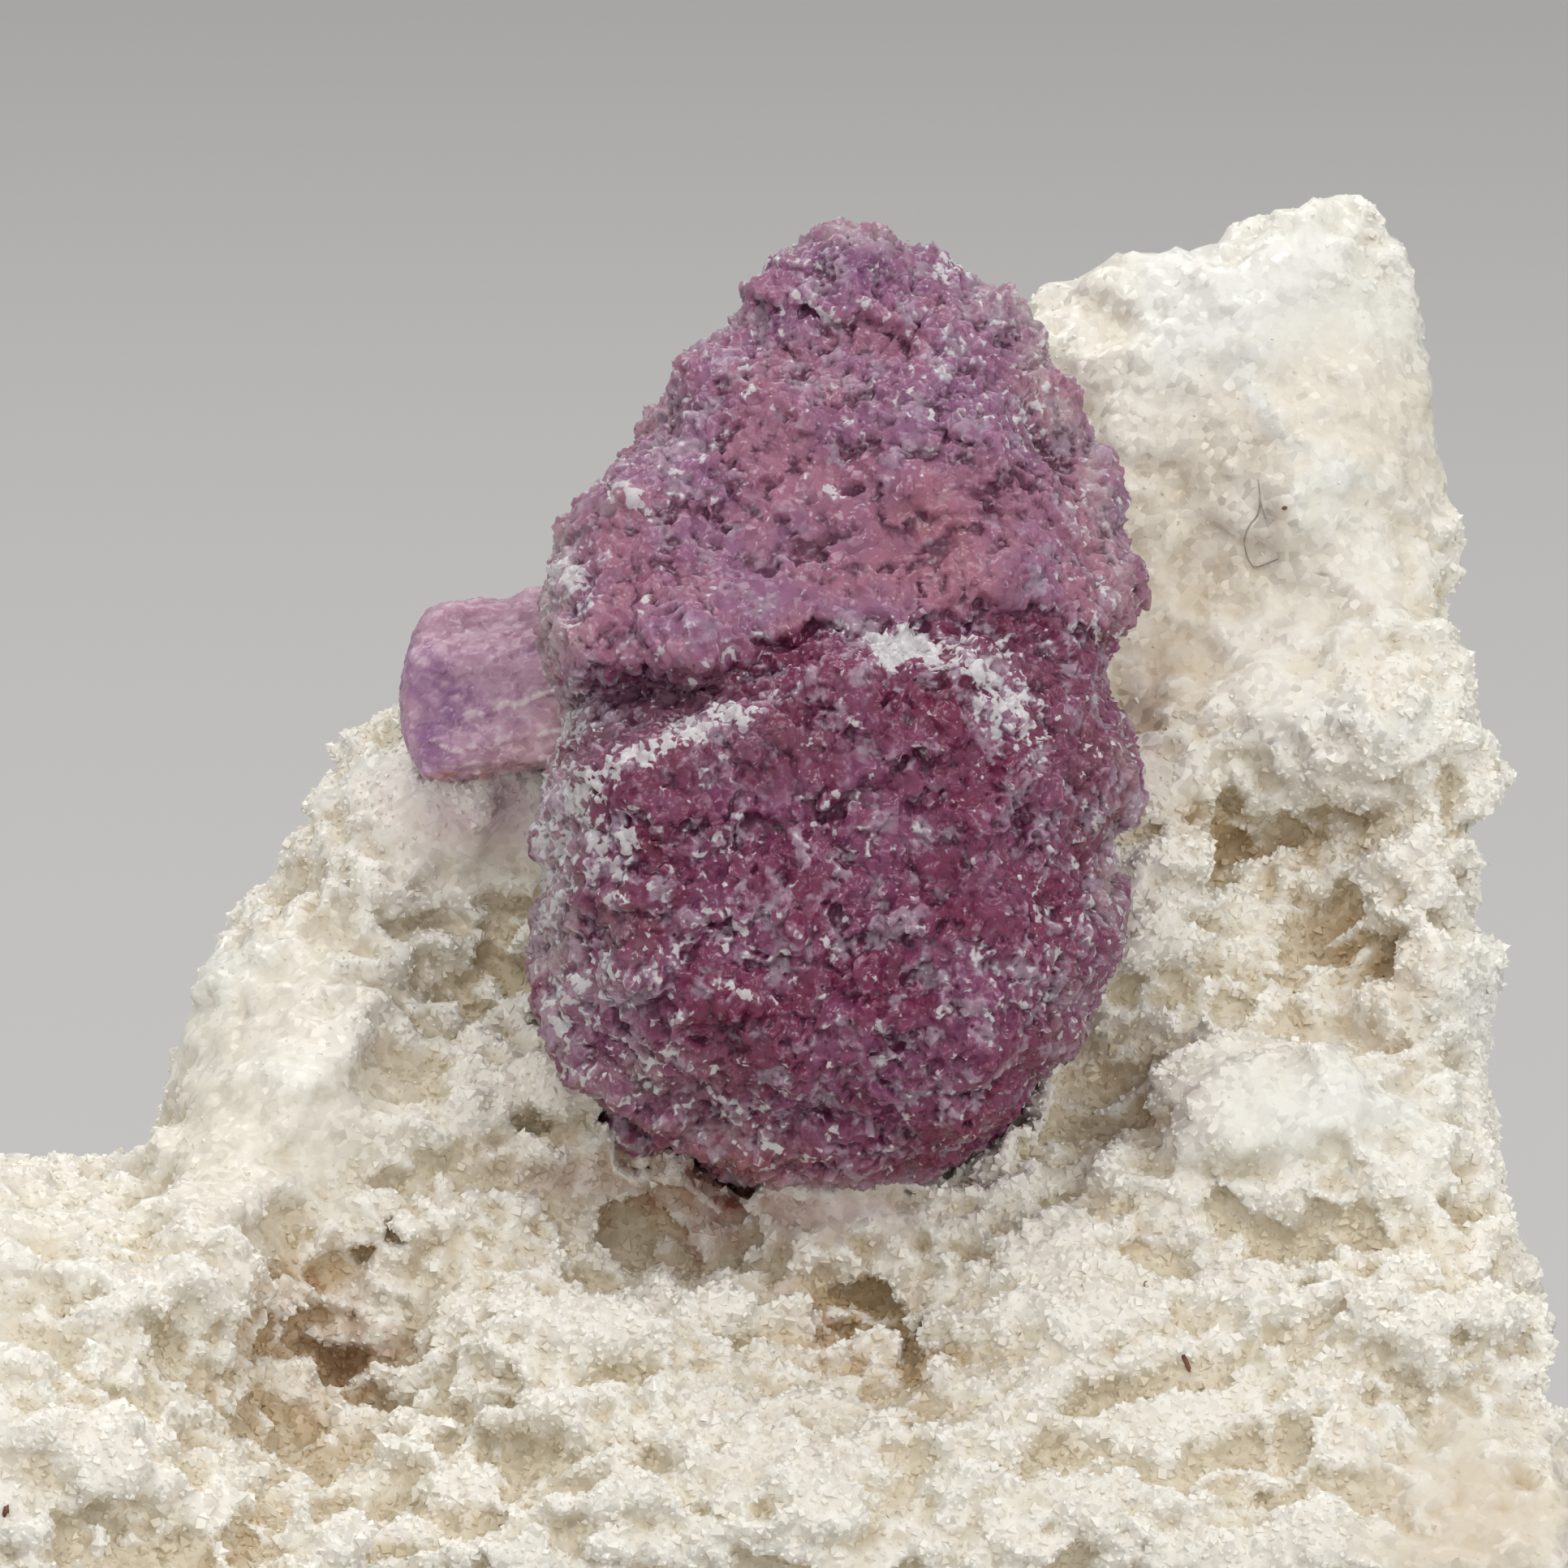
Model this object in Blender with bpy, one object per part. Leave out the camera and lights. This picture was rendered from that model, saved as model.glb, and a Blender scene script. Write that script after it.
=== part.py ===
# Fluorite on matrix: a ragged piece of white quartz rock standing on a sawn base, with a large purple
# fluorite crystal on its face and a small pale fluorite at its left shoulder.
# Shapes are laid out in millimetres as a viewer sees the piece: X right, Y up and Z towards the viewer.
# Each finished solid is then stood up on its base, in metres, with +Z up and the viewer towards -Y.

import math
import random

import bmesh
import bpy
import numpy as np
from mathutils import Matrix, Vector, noise

MM = 0.001

# Driving sizes
VIEWER_ELEVATION = math.radians(8.0)  # how far the viewer looks down on the standing piece
BASE_DROP = 26.3                      # from the middle of the view down to the sawn base
SEAT_GAP = 0.40                       # clearance of the pockets that the crystals sit in
SEAT_CELL = 0.7
SEAT_TRIANGLES = 900

# The rock's edge as the viewer sees it, clockwise from the bottom left corner
ROCK_EDGE = [
    (-22.0, -31.0), (-23.8, -25.8), (-25.4, -22.8), (-25.2, -20.0), (-25.9, -17.4), (-25.1, -14.0),
    (-23.6, -11.9), (-22.4, -10.0), (-20.3, -9.0), (-19.4, -9.3), (-18.2, -9.4), (-17.6, -9.9),
    (-16.6, -10.0), (-16.6, -8.4), (-16.1, -8.1),
    (-15.5, -6.2), (-14.9, -4.9), (-14.7, -3.9), (-14.1, -3.3), (-13.2, -3.1), (-12.6, -1.7),
    (-12.7, -0.8), (-12.2, -0.3), (-11.4, -0.1), (-11.2, 0.8), (-10.2, 1.7), (-9.5, 2.6),
    (-8.0, 4.0), (-5.0, 4.4), (-2.5, 5.4), (0.5, 7.2), (3.5, 9.2), (5.5, 11.0),
    (6.7, 12.2), (7.1, 13.0), (8.3, 13.8), (10.3, 14.1), (12.1, 14.8), (13.3, 15.0),
    (14.5, 15.6), (15.6, 15.2), (16.1, 14.1), (17.0, 12.4), (16.7, 11.2), (17.1, 8.6),
    (18.0, 5.6), (17.7, 4.2), (17.9, 1.9), (18.6, 1.2), (18.7, -0.6), (18.1, -1.4),
    (18.4, -5.4), (18.0, -6.9), (18.4, -9.0), (19.0, -12.3), (19.5, -13.0), (19.7, -15.3),
    (20.6, -19.0), (20.2, -21.2), (21.0, -23.0), (20.0, -26.0), (18.0, -31.0),
]
ROCK_NEAR, ROCK_FAR = 12.0, -20.0  # where the uncut block starts and ends in depth
ROCK_CELL = 0.55                                        # size of the finest form kept while shaping
ROCK_TRIANGLES = 4650
ROCK_ROUGHNESS = [(6.0, 0.8), (2.4, 0.55), (1.2, 0.3)]  # (lump size, height)
ROCK_SEED = 7.0
DRUSE_CLUMPS = 260
DRUSE_CLUMP_RADII = (0.8, 1.7)
DRUSE_SEED = 4
BACK_TAPER = 0.13                                       # how much narrower the rock is at its far side
BACK_LIMITS = (-19.5, -12.6)                            # deepest and shallowest that the far side may lie

# How far forward the rock's face stands at each height, from the top down: (height, forward)
ROCK_LEAN = [
    (16.0, -7.6), (9.0, -6.8), (3.0, -5.2), (-2.0, -4.0), (-7.0, -2.2), (-11.0, 0.6), (-15.0, 3.0),
    (-20.0, 4.8), (-31.0, 7.4),
]

# Lumps and hollows of the rock's face: (right, up, half width, half height, forward)
ROCK_RELIEF = [
    (-12.2, -7.4, 3.6, 4.2, 2.3),    # smooth block on the left
    (-19.6, -15.5, 5.6, 5.0, 4.2),   # near lump at the bottom left
    (-18.0, -22.5, 7.0, 3.6, 2.2),
    (-13.8, -11.2, 1.8, 1.4, 1.6),   # teeth above the brown hollow
    (-11.2, -13.6, 1.6, 3.0, -4.4),  # brown hollow
    (-12.6, -15.4, 1.8, 1.6, -3.0),
    (-9.4, -5.4, 1.3, 1.3, -1.4),
    (-2.6, -11.0, 3.4, 1.5, -2.6),   # shaded hollow under the large crystal
    (7.9, -7.6, 1.5, 2.3, -2.8),     # hollow at its lower right
    (2.2, -13.9, 1.7, 1.3, -2.4),    # small hole in the sugary front
    (-5.0, -14.8, 3.4, 3.0, 1.8),    # sugary clumps
    (-8.0, -19.0, 4.0, 2.6, 1.4),
    (-1.0, -18.6, 4.4, 2.2, 1.6),
    (6.8, -17.4, 4.6, 2.2, 1.4),
    (12.8, -8.2, 5.2, 2.5, 3.0),     # broad pale lump at the lower right
    (16.2, -12.6, 3.4, 2.6, 1.2),
    (9.6, -2.4, 1.5, 2.5, 2.2),      # drusy lump beside the large crystal
    (13.0, -1.3, 3.8, 1.5, -3.2),    # hollow behind it
    (14.3, -4.4, 1.6, 1.8, -2.2),
    (16.3, -2.6, 1.8, 2.4, 1.5),
    (14.6, 1.5, 4.2, 1.5, 1.7),      # ledge across the right side
    (12.4, 4.6, 3.0, 1.6, -0.5),
    (13.2, 9.8, 1.4, 5.4, 1.0),      # upright rib of the spire
    (10.0, 10.4, 2.6, 3.4, 0.5),
]

# The top edge of the near lump at the lower left, how far it stands forward and where it ends on the right
NEAR_LUMP = [(-27.0, -9.0), (-17.2, -10.3), (-14.0, -11.2), (-10.5, -12.4)]
NEAR_LUMP_FORWARD, NEAR_LUMP_END = 2.4, -11.2
# Rough ledges across the front: (height, slope, forward)
ROCK_LEDGES = [(-13.4, 0.02, 0.7), (-16.3, -0.02, 0.8), (-18.2, 0.03, 0.6), (1.0, 0.06, 0.5)]

# Larger quartz points at the lower right and at the left lump: (tip, root, root radius)
QUARTZ_POINTS = [
    ((15.4, -16.8, 7.6), (17.6, -22.5, 1.0), 4.2),
    ((16.1, -18.4, 8.2), (16.0, -23.0, 3.0), 1.7),
    ((-13.0, -13.8, 7.4), (-15.6, -12.6, 2.4), 2.0),
    ((-10.2, -12.0, 3.4), (-12.8, -10.4, 0.0), 1.7),
]

# Flat breaks on the hidden back of the rock: (right slope, up slope, depth at the middle)
ROCK_BREAKS = [
    (0.05, -0.18, -14.2), (-0.55, -0.10, -21.0), (0.62, 0.05, -22.5), (0.10, 0.55, -17.6),
    (-0.15, -0.75, -25.0),
]

# The large crystal's edge, clockwise from its apex
CRYSTAL_EDGE = [
    (1.7, 14.5), (2.7, 14.2), (3.8, 13.5), (5.2, 13.0), (6.5, 12.1), (6.8, 11.0), (7.7, 9.5), (8.0, 8.5),
    (8.6, 7.6), (8.7, 6.1), (9.1, 4.8), (8.5, 3.4), (8.4, 2.1), (8.9, 1.3), (9.1, -0.3), (8.4, -1.2),
    (8.4, -2.6), (8.8, -3.8), (8.2, -5.0), (7.5, -5.7), (7.3, -6.8), (6.2, -7.7), (6.0, -8.6), (4.1, -9.7),
    (1.9, -10.3), (0.0, -10.3), (-2.0, -9.8), (-3.6, -9.1), (-4.8, -8.1), (-5.7, -7.1), (-6.2, -5.9),
    (-6.4, -3.6), (-6.4, -1.5), (-6.1, 0.1), (-5.7, 2.2), (-6.2, 3.3), (-6.4, 4.9), (-6.1, 6.0),
    (-5.4, 7.2),
    (-4.4, 8.3), (-3.5, 9.4), (-2.6, 10.9), (-1.3, 12.2), (-1.0, 12.9), (0.2, 14.1),
]
CRYSTAL_NEAR, CRYSTAL_FAR = 8.5, -6.0
CRYSTAL_CELL = 0.4
CRYSTAL_TRIANGLES = 4700
CRYSTAL_GRAINS = 270
CRYSTAL_GRAIN_SIZES = (1.0, 1.9)
CRYSTAL_GRAIN_SINK = 0.38             # share of a grain's size by which its middle lies under the face
CRYSTAL_GRAIN_CELL = 0.22
CRYSTAL_SEED = 11
CRYSTAL_MARGIN = 0.3                  # how far the grains stand out past the crystal's own edge
CORNER_OUT = (0.0, 0.4, 0.92)         # where the shared corner of the cubic grains points

# Faces of the upper and the lower crystal towards the viewer: (right slope, up slope, depth at the middle)
UPPER_FACES = [(0.02, -0.50, 6.6), (1.25, -0.85, 15.5), (-0.95, -0.55, 12.6)]
LOWER_FACES = [
    (0.0, 0.06, 7.3), (0.85, 0.05, 10.4), (-0.75, 0.05, 11.2), (0.0, 0.85, 12.0), (0.5, 0.6, 11.6),
]
LOWER_SWELL, LOWER_MIDDLE = 0.014, (1.0, -3.0)  # roundness of the lower crystal and where it is fullest
# Lines across the crystal, from left to right: the lower edge of the upper crystal, which overhangs the
# lower one, the frosted ridge below it, and a low step in the lower crystal's face
OVERHANG = [
    (-7.0, 2.2), (-4.6, 3.0), (-2.2, 2.8), (-0.8, 3.4), (0.7, 4.1), (3.4, 4.1), (5.9, 4.4), (9.5, 3.7),
]
RIDGE = [
    (-7.0, -1.4), (-5.4, -0.1), (-4.2, 0.8), (-2.2, 1.6), (-0.3, 2.4), (2.4, 3.6), (4.4, 3.6),
    (6.6, 2.4), (9.5, 0.6),
]
LOW_STEP = [
    (-7.0, -1.2), (-3.8, -0.7), (-1.4, -0.9), (0.7, -0.7), (1.5, -0.2), (2.8, 0.4), (4.8, 0.9),
    (9.5, 0.4),
]
LOW_STEP_HEIGHT = 0.4
RECESS_DEPTHS = (2.0, 6.0)                      # depth of the recess under the overhang, then at the ridge
CAP_LEDGE = 0.6                                 # drop from the upper face to the cap at the apex
SHOULDER_DROP = 1.0                             # drop to the thin flange on the right shoulder

# The small crystal's edge, clockwise from its top left
SMALL_EDGE = [
    (-9.1, 4.6), (-7.8, 4.8), (-6.8, 4.6), (-6.7, 5.1), (-5.9, 5.1), (-5.4, 3.6), (-5.3, 1.6), (-5.7, 0.6),
    (-7.4, 0.2), (-9.2, 0.0), (-9.8, 1.2), (-9.9, 2.4), (-9.5, 4.0),
]
SMALL_NEAR, SMALL_FAR = -1.4, -6.6
SMALL_CELL = 0.25
SMALL_TRIANGLES = 420


def clear_scene():
    for old in list(bpy.data.objects):
        bpy.data.objects.remove(old)


def new_object(name, mesh):
    obj = bpy.data.objects.new(name, mesh)
    bpy.context.scene.collection.objects.link(obj)
    return obj


def points_of(mesh):
    points = np.empty(len(mesh.vertices) * 3)
    mesh.vertices.foreach_get("co", points)
    return points.reshape(-1, 3)


def normals_of(mesh):
    return np.array([v.normal[:] for v in mesh.vertices])


def move_points(mesh, points):
    mesh.vertices.foreach_set("co", np.asarray(points, np.float32).ravel())
    mesh.update()


def block_from(edge, far, near):
    """A straight-walled block with this edge, from far to near in depth."""
    bm = bmesh.new()
    face = bm.faces.new([bm.verts.new((x, y, far)) for x, y in edge])
    walls = bmesh.ops.extrude_face_region(bm, geom=[face])
    raised = [v for v in walls["geom"] if isinstance(v, bmesh.types.BMVert)]
    bmesh.ops.translate(bm, vec=(0, 0, near - far), verts=raised)
    bmesh.ops.recalc_face_normals(bm, faces=bm.faces)
    mesh = bpy.data.meshes.new("block")
    bm.to_mesh(mesh)
    bm.free()
    return mesh


def with_modifier(mesh, kind, **settings):
    """The mesh as one modifier leaves it."""
    helper = new_object("helper", mesh)
    modifier = helper.modifiers.new(kind, kind)
    for key, value in settings.items():
        setattr(modifier, key, value)
    graph = bpy.context.evaluated_depsgraph_get()
    made = bpy.data.meshes.new_from_object(helper.evaluated_get(graph))
    bpy.data.objects.remove(helper)
    return made


def remeshed(mesh, cell):
    return with_modifier(mesh, "REMESH", mode="VOXEL", voxel_size=cell)


def thinned(mesh, triangles):
    """The mesh with about this many triangles, most of them where it bends."""
    now = sum(len(face.vertices) - 2 for face in mesh.polygons)
    return with_modifier(mesh, "DECIMATE", ratio=min(1.0, triangles / now), use_collapse_triangulate=True)


def inset_of(points, edge):
    """How far inside the edge each point lies, seen by the viewer."""
    corners = np.array(edge)
    spans = np.roll(corners, -1, axis=0) - corners
    offsets = points[:, None, :2] - corners[None]
    along = np.clip((offsets * spans).sum(2) / (spans * spans).sum(1), 0, 1)
    return np.linalg.norm(offsets - along[..., None] * spans, axis=2).min(1)


def dome_of(inset, radius):
    """0 at an edge, rising as a quarter circle to 1 at this inset."""
    return np.sqrt(1 - (1 - np.clip(inset / radius, 0, 1)) ** 2)


def bump_sum(x, y, bumps):
    return sum(
        forward * np.exp(-(((x - right) / wide) ** 2) - ((y - up) / high) ** 2)
        for right, up, wide, high, forward in bumps
    )


def step(distance, width=0.35):
    """0 below nought, 1 above it, with a short ramp between."""
    return 0.5 + 0.5 * np.tanh(distance / width)


def line_height(x, line):
    """The height of a line drawn from left to right, at each x."""
    return np.interp(x, [p[0] for p in line], [p[1] for p in line])


def height_between(y, profile):
    """A value read from a profile that is listed from the top down."""
    return np.interp(-y, [-p[0] for p in profile], [p[1] for p in profile])


def spread_depth(points, far, near, front, back):
    """Moves a block's depth so that its near side lies on front and its far side on back."""
    share = (points[:, 2] - far) / (near - far)
    moved = points.copy()
    moved[:, 2] = back + share * (front - back)
    return moved


def roughen(mesh, octaves, seed):
    """Pushes each point along its normal by soft noise, less at the rim; octaves hold (size, height)."""
    points = points_of(mesh)
    normals = normals_of(mesh)
    offset = Vector((seed, 2.0 * seed, 3.0 * seed))
    push = np.zeros(len(points))
    for size, height in octaves:
        push += height * np.array([noise.noise(Vector(p) / size + offset) for p in points])
    push *= 0.35 + 0.65 * np.abs(normals[:, 2])
    move_points(mesh, points + normals * push[:, None])


def push_out(mesh, distance):
    move_points(mesh, points_of(mesh) + normals_of(mesh) * distance)


def scatter_on(mesh, count, seed, keep):
    """Some of the mesh's points with their normals, the same ones each time."""
    pick = random.Random(seed)
    chosen = [v for v in mesh.vertices if keep(v.co, v.normal)]
    return [(v.co.copy(), v.normal.copy()) for v in pick.sample(chosen, min(count, len(chosen)))], pick


def rock_front(x, y):
    face = height_between(y, ROCK_LEAN) + bump_sum(x, y, ROCK_RELIEF)
    face += NEAR_LUMP_FORWARD * step(line_height(x, NEAR_LUMP) - y, 0.3) * step(NEAR_LUMP_END - x, 0.7)
    for height, slope, forward in ROCK_LEDGES:
        face += forward * step(height + slope * x + 0.5 * np.sin(1.3 * x + height) - y, 0.2)
    return face


def rock_back(x, y):
    flats = np.max([a * x + b * y + c for a, b, c in ROCK_BREAKS], axis=0)
    return np.clip(flats, *BACK_LIMITS)


def rock_sides(x, y, inset):
    """Front and back with their rims rounded, more where the rock is thick."""
    front, back = rock_front(x, y), rock_back(x, y)
    thickness = front - back
    front -= np.minimum(0.24 * thickness, 3.0) * (1 - dome_of(inset, 2.2))
    back += np.minimum(0.30 * thickness, 4.0) * (1 - dome_of(inset, 3.4))
    return front, back


def drawn_in(points, front_share):
    """Pulls the far side of the rock in towards its middle, so that its walls slope as broken rock does."""
    middle = np.array([0.0, -10.0])
    pull = BACK_TAPER * np.clip(1 - 1.6 * front_share, 0, 1) ** 1.5
    points[:, :2] = middle + (points[:, :2] - middle) * (1 - pull[:, None])
    return points


def add_lumps(mesh, spots, sizes, sink, pick):
    """Half-buried rough lumps, as separate shells in the same mesh."""
    bm = bmesh.new()
    bm.from_mesh(mesh)
    for place, normal in spots:
        radius = pick.uniform(*sizes)
        flat = Matrix.Diagonal((1.0, pick.uniform(0.7, 1.0), pick.uniform(0.7, 1.0), 1.0))
        turn = Matrix.Rotation(pick.uniform(0, 6.28), 4, Vector([pick.gauss(0, 1) for _ in range(3)]))
        spot = Matrix.Translation(place - normal * radius * sink)
        bmesh.ops.create_icosphere(bm, subdivisions=2, radius=radius, matrix=spot @ turn @ flat)
    bm.to_mesh(mesh)
    bm.free()


def add_cubes(mesh, spots, pick):
    """Half-buried cubic grains that share one crystal direction, each a few degrees off it."""
    corner_out = Vector((1, 1, 1)).rotation_difference(Vector(CORNER_OUT)).to_matrix().to_4x4()
    bm = bmesh.new()
    bm.from_mesh(mesh)
    for place, normal in spots:
        size = pick.uniform(*CRYSTAL_GRAIN_SIZES)
        tilt = Matrix.Rotation(pick.gauss(0, 0.08), 4, Vector([pick.gauss(0, 1) for _ in range(3)]))
        spot = Matrix.Translation(place - normal * size * CRYSTAL_GRAIN_SINK)
        bmesh.ops.create_cube(bm, size=size, matrix=spot @ tilt @ corner_out)
    bm.to_mesh(mesh)
    bm.free()


def is_sugary(place, normal):
    """Where fine druse covers the rock: its front, below the spire and off the smooth block."""
    on_front = place.z > height_between(place.y, ROCK_LEAN) - 2.5 and normal.z > 0.3
    on_block = place.x < -10.0 and place.y > -10.5
    return on_front and place.y < 0.5 and not on_block


def add_quartz_points(mesh):
    """Larger six-sided quartz points that stand out of the druse."""
    bm = bmesh.new()
    bm.from_mesh(mesh)
    for tip, root, radius in QUARTZ_POINTS:
        axis = Vector(tip) - Vector(root)
        turn = axis.to_track_quat("Z", "Y").to_matrix().to_4x4()
        spot = Matrix.Translation((Vector(tip) + Vector(root)) / 2) @ turn
        bmesh.ops.create_cone(
            bm, cap_ends=True, segments=6, radius1=radius, radius2=0.0, depth=axis.length, matrix=spot
        )
    bm.to_mesh(mesh)
    bm.free()


def make_rock_mesh():
    mesh = remeshed(block_from(ROCK_EDGE, ROCK_FAR, ROCK_NEAR), ROCK_CELL)
    points = points_of(mesh)
    front, back = rock_sides(points[:, 0], points[:, 1], inset_of(points, ROCK_EDGE))
    share = (points[:, 2] - ROCK_FAR) / (ROCK_NEAR - ROCK_FAR)
    move_points(mesh, drawn_in(spread_depth(points, ROCK_FAR, ROCK_NEAR, front, back), share))
    mesh = remeshed(mesh, ROCK_CELL)
    sugary, pick = scatter_on(mesh, DRUSE_CLUMPS, DRUSE_SEED, is_sugary)
    add_lumps(mesh, sugary, DRUSE_CLUMP_RADII, 0.6, pick)
    add_quartz_points(mesh)
    mesh = remeshed(mesh, ROCK_CELL)
    roughen(mesh, ROCK_ROUGHNESS, ROCK_SEED)
    return thinned(mesh, ROCK_TRIANGLES)


def lowest_plane(x, y, planes):
    """The front of a convex solid whose faces are planes: (right slope, up slope, depth at the middle)."""
    return np.min([a * x + b * y + c for a, b, c in planes], axis=0)


def crystal_middle(y):
    return -0.5 - 0.18 * np.maximum(0, y - 3)


def crystal_front(x, y, inset):
    upper = lowest_plane(x, y, UPPER_FACES)
    upper -= CAP_LEDGE * step(y - 11.0 + 0.12 * (x - 1.7) ** 2, 0.15)
    upper -= SHOULDER_DROP * step(0.8 * (x - 4.6) + 0.6 * (y - 10.6), 0.2)
    from_middle = (x - LOWER_MIDDLE[0]) ** 2 + (y - LOWER_MIDDLE[1]) ** 2
    lower = lowest_plane(x, y, LOWER_FACES) - LOWER_SWELL * from_middle
    lower += LOW_STEP_HEIGHT * step(line_height(x, LOW_STEP) - y, 0.12)
    edge, ridge = line_height(x, OVERHANG), line_height(x, RIDGE)
    out_of_recess = np.clip((edge - y) / np.maximum(edge - ridge, 0.3), 0, 1)
    tucked = RECESS_DEPTHS[0] + (RECESS_DEPTHS[1] - RECESS_DEPTHS[0]) * out_of_recess
    front = np.where(y > edge, upper, np.where(y > ridge, np.minimum(tucked, lower), lower))
    rim = crystal_middle(y) + 0.7 + 6.5 * dome_of(inset, 2.6)
    return np.minimum(front, rim)


def crystal_back(y, inset):
    return crystal_middle(y) - 0.7 - 4.2 * dome_of(inset, 5.0)


def holds_grains(place, normal):
    """The crystal's grains grow on its front and sides, but not in the recess under the overhang."""
    in_recess = line_height(place.x, RIDGE) < place.y < line_height(place.x, OVERHANG) + 0.3
    return place.z > -3 and normal.z > -0.5 and not in_recess


def make_crystal_mesh():
    mesh = remeshed(block_from(CRYSTAL_EDGE, CRYSTAL_FAR, CRYSTAL_NEAR), CRYSTAL_CELL)
    points = points_of(mesh)
    x, y, inset = points[:, 0], points[:, 1], inset_of(points, CRYSTAL_EDGE)
    front, back = crystal_front(x, y, inset), crystal_back(y, inset)
    move_points(mesh, spread_depth(points, CRYSTAL_FAR, CRYSTAL_NEAR, front, back))
    mesh = remeshed(mesh, CRYSTAL_CELL)
    push_out(mesh, -CRYSTAL_MARGIN)
    spots, pick = scatter_on(mesh, CRYSTAL_GRAINS, CRYSTAL_SEED, holds_grains)
    add_cubes(mesh, spots, pick)
    return thinned(remeshed(mesh, CRYSTAL_GRAIN_CELL), CRYSTAL_TRIANGLES)


def small_front(x, y, inset):
    face = -1.5 + 0.12 * (x + 7) - 0.12 * (y - 2)
    face -= 0.9 * step(y - 3.7, 0.2)                     # sloping top face
    face += 0.35 * step(1.7 + 0.18 * (x + 7) - y, 0.15)  # growth steps low on the front
    face += 0.35 * step(0.9 + 0.15 * (x + 7) - y, 0.15)
    return face - 0.7 * (1 - dome_of(inset, 0.35))


def small_back(inset):
    return -6.0 + 1.0 * (1 - dome_of(inset, 1.5))


def make_small_mesh():
    mesh = remeshed(block_from(SMALL_EDGE, SMALL_FAR, SMALL_NEAR), SMALL_CELL)
    points = points_of(mesh)
    x, y, inset = points[:, 0], points[:, 1], inset_of(points, SMALL_EDGE)
    front, back = small_front(x, y, inset), small_back(inset)
    move_points(mesh, spread_depth(points, SMALL_FAR, SMALL_NEAR, front, back))
    return thinned(remeshed(mesh, SMALL_CELL), SMALL_TRIANGLES)


def swollen(mesh):
    """The mesh grown by the seat gap on every side, as a plain cutter."""
    grown = remeshed(mesh, SEAT_CELL)
    push_out(grown, SEAT_GAP)
    return thinned(remeshed(grown, SEAT_CELL), SEAT_TRIANGLES)


def stood_up(mesh):
    """Turns a mesh from the viewer's layout to the standing piece, in metres."""
    mesh.transform(Matrix.Scale(MM, 4) @ Matrix.Rotation(math.radians(90) - VIEWER_ELEVATION, 4, "X"))
    return mesh


def sawn_flat(mesh, height):
    """Cuts the mesh flat at this height and closes the cut."""
    bm = bmesh.new()
    bm.from_mesh(mesh)
    everything = bm.verts[:] + bm.edges[:] + bm.faces[:]
    cut = bmesh.ops.bisect_plane(
        bm, geom=everything, plane_co=(0, 0, height), plane_no=(0, 0, 1), clear_inner=True
    )
    rim = [e for e in cut["geom_cut"] if isinstance(e, bmesh.types.BMEdge)]
    bmesh.ops.contextual_create(bm, geom=rim)
    bmesh.ops.recalc_face_normals(bm, faces=bm.faces)
    bm.to_mesh(mesh)
    bm.free()
    return mesh


def make_material(name, colour, roughness, transmission, index):
    made = bpy.data.materials.new(name)
    made.use_nodes = True
    shader = made.node_tree.nodes["Principled BSDF"]
    shader.inputs["Base Color"].default_value = (*colour, 1.0)
    shader.inputs["Roughness"].default_value = roughness
    shader.inputs["Metallic"].default_value = 0.0
    shader.inputs["Transmission Weight"].default_value = transmission
    shader.inputs["IOR"].default_value = index
    return made


def cutter_for(name, mesh):
    """A hidden swollen copy of a crystal, which cuts its pocket in the rock."""
    cutter = new_object(name, stood_up(swollen(mesh)))
    cutter.hide_render = True
    cutter.display_type = "WIRE"
    return cutter


def cut_pocket(solid, cutter):
    pocket = solid.modifiers.new(cutter.name, "BOOLEAN")
    pocket.operation = "DIFFERENCE"
    pocket.solver = "EXACT"
    pocket.object = cutter


def centre_on_base(objects):
    """Hangs everything from one empty, so that the base's middle is the origin."""
    corners = np.array([c for obj in objects for c in points_of(obj.data)])
    low, high = corners.min(0), corners.max(0)
    stand = new_object("specimen", None)
    stand.location = (-(low[0] + high[0]) / 2, -(low[1] + high[1]) / 2, -low[2])
    for obj in bpy.context.scene.objects:
        if obj is not stand:
            obj.parent = stand
    print("middle of the view:", [round(c, 5) for c in stand.location])


def main():
    clear_scene()
    crystal_mesh, small_mesh = make_crystal_mesh(), make_small_mesh()
    seats = [cutter_for("large_pocket", crystal_mesh), cutter_for("small_pocket", small_mesh)]
    large = new_object("large_fluorite", stood_up(crystal_mesh))
    small = new_object("small_fluorite", stood_up(small_mesh))
    rock = new_object("quartz_matrix", sawn_flat(stood_up(make_rock_mesh()), -BASE_DROP * MM))
    for seat in seats:
        cut_pocket(rock, seat)
    cut_pocket(small, seats[0])
    large.data.materials.append(make_material("purple fluorite", (0.33, 0.13, 0.25), 0.3, 0.5, 1.434))
    small.data.materials.append(make_material("lilac fluorite", (0.58, 0.36, 0.53), 0.35, 0.4, 1.434))
    rock.data.materials.append(make_material("white quartz", (0.80, 0.77, 0.70), 0.55, 0.0, 1.544))
    centre_on_base([large, small, rock])


main()
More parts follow.
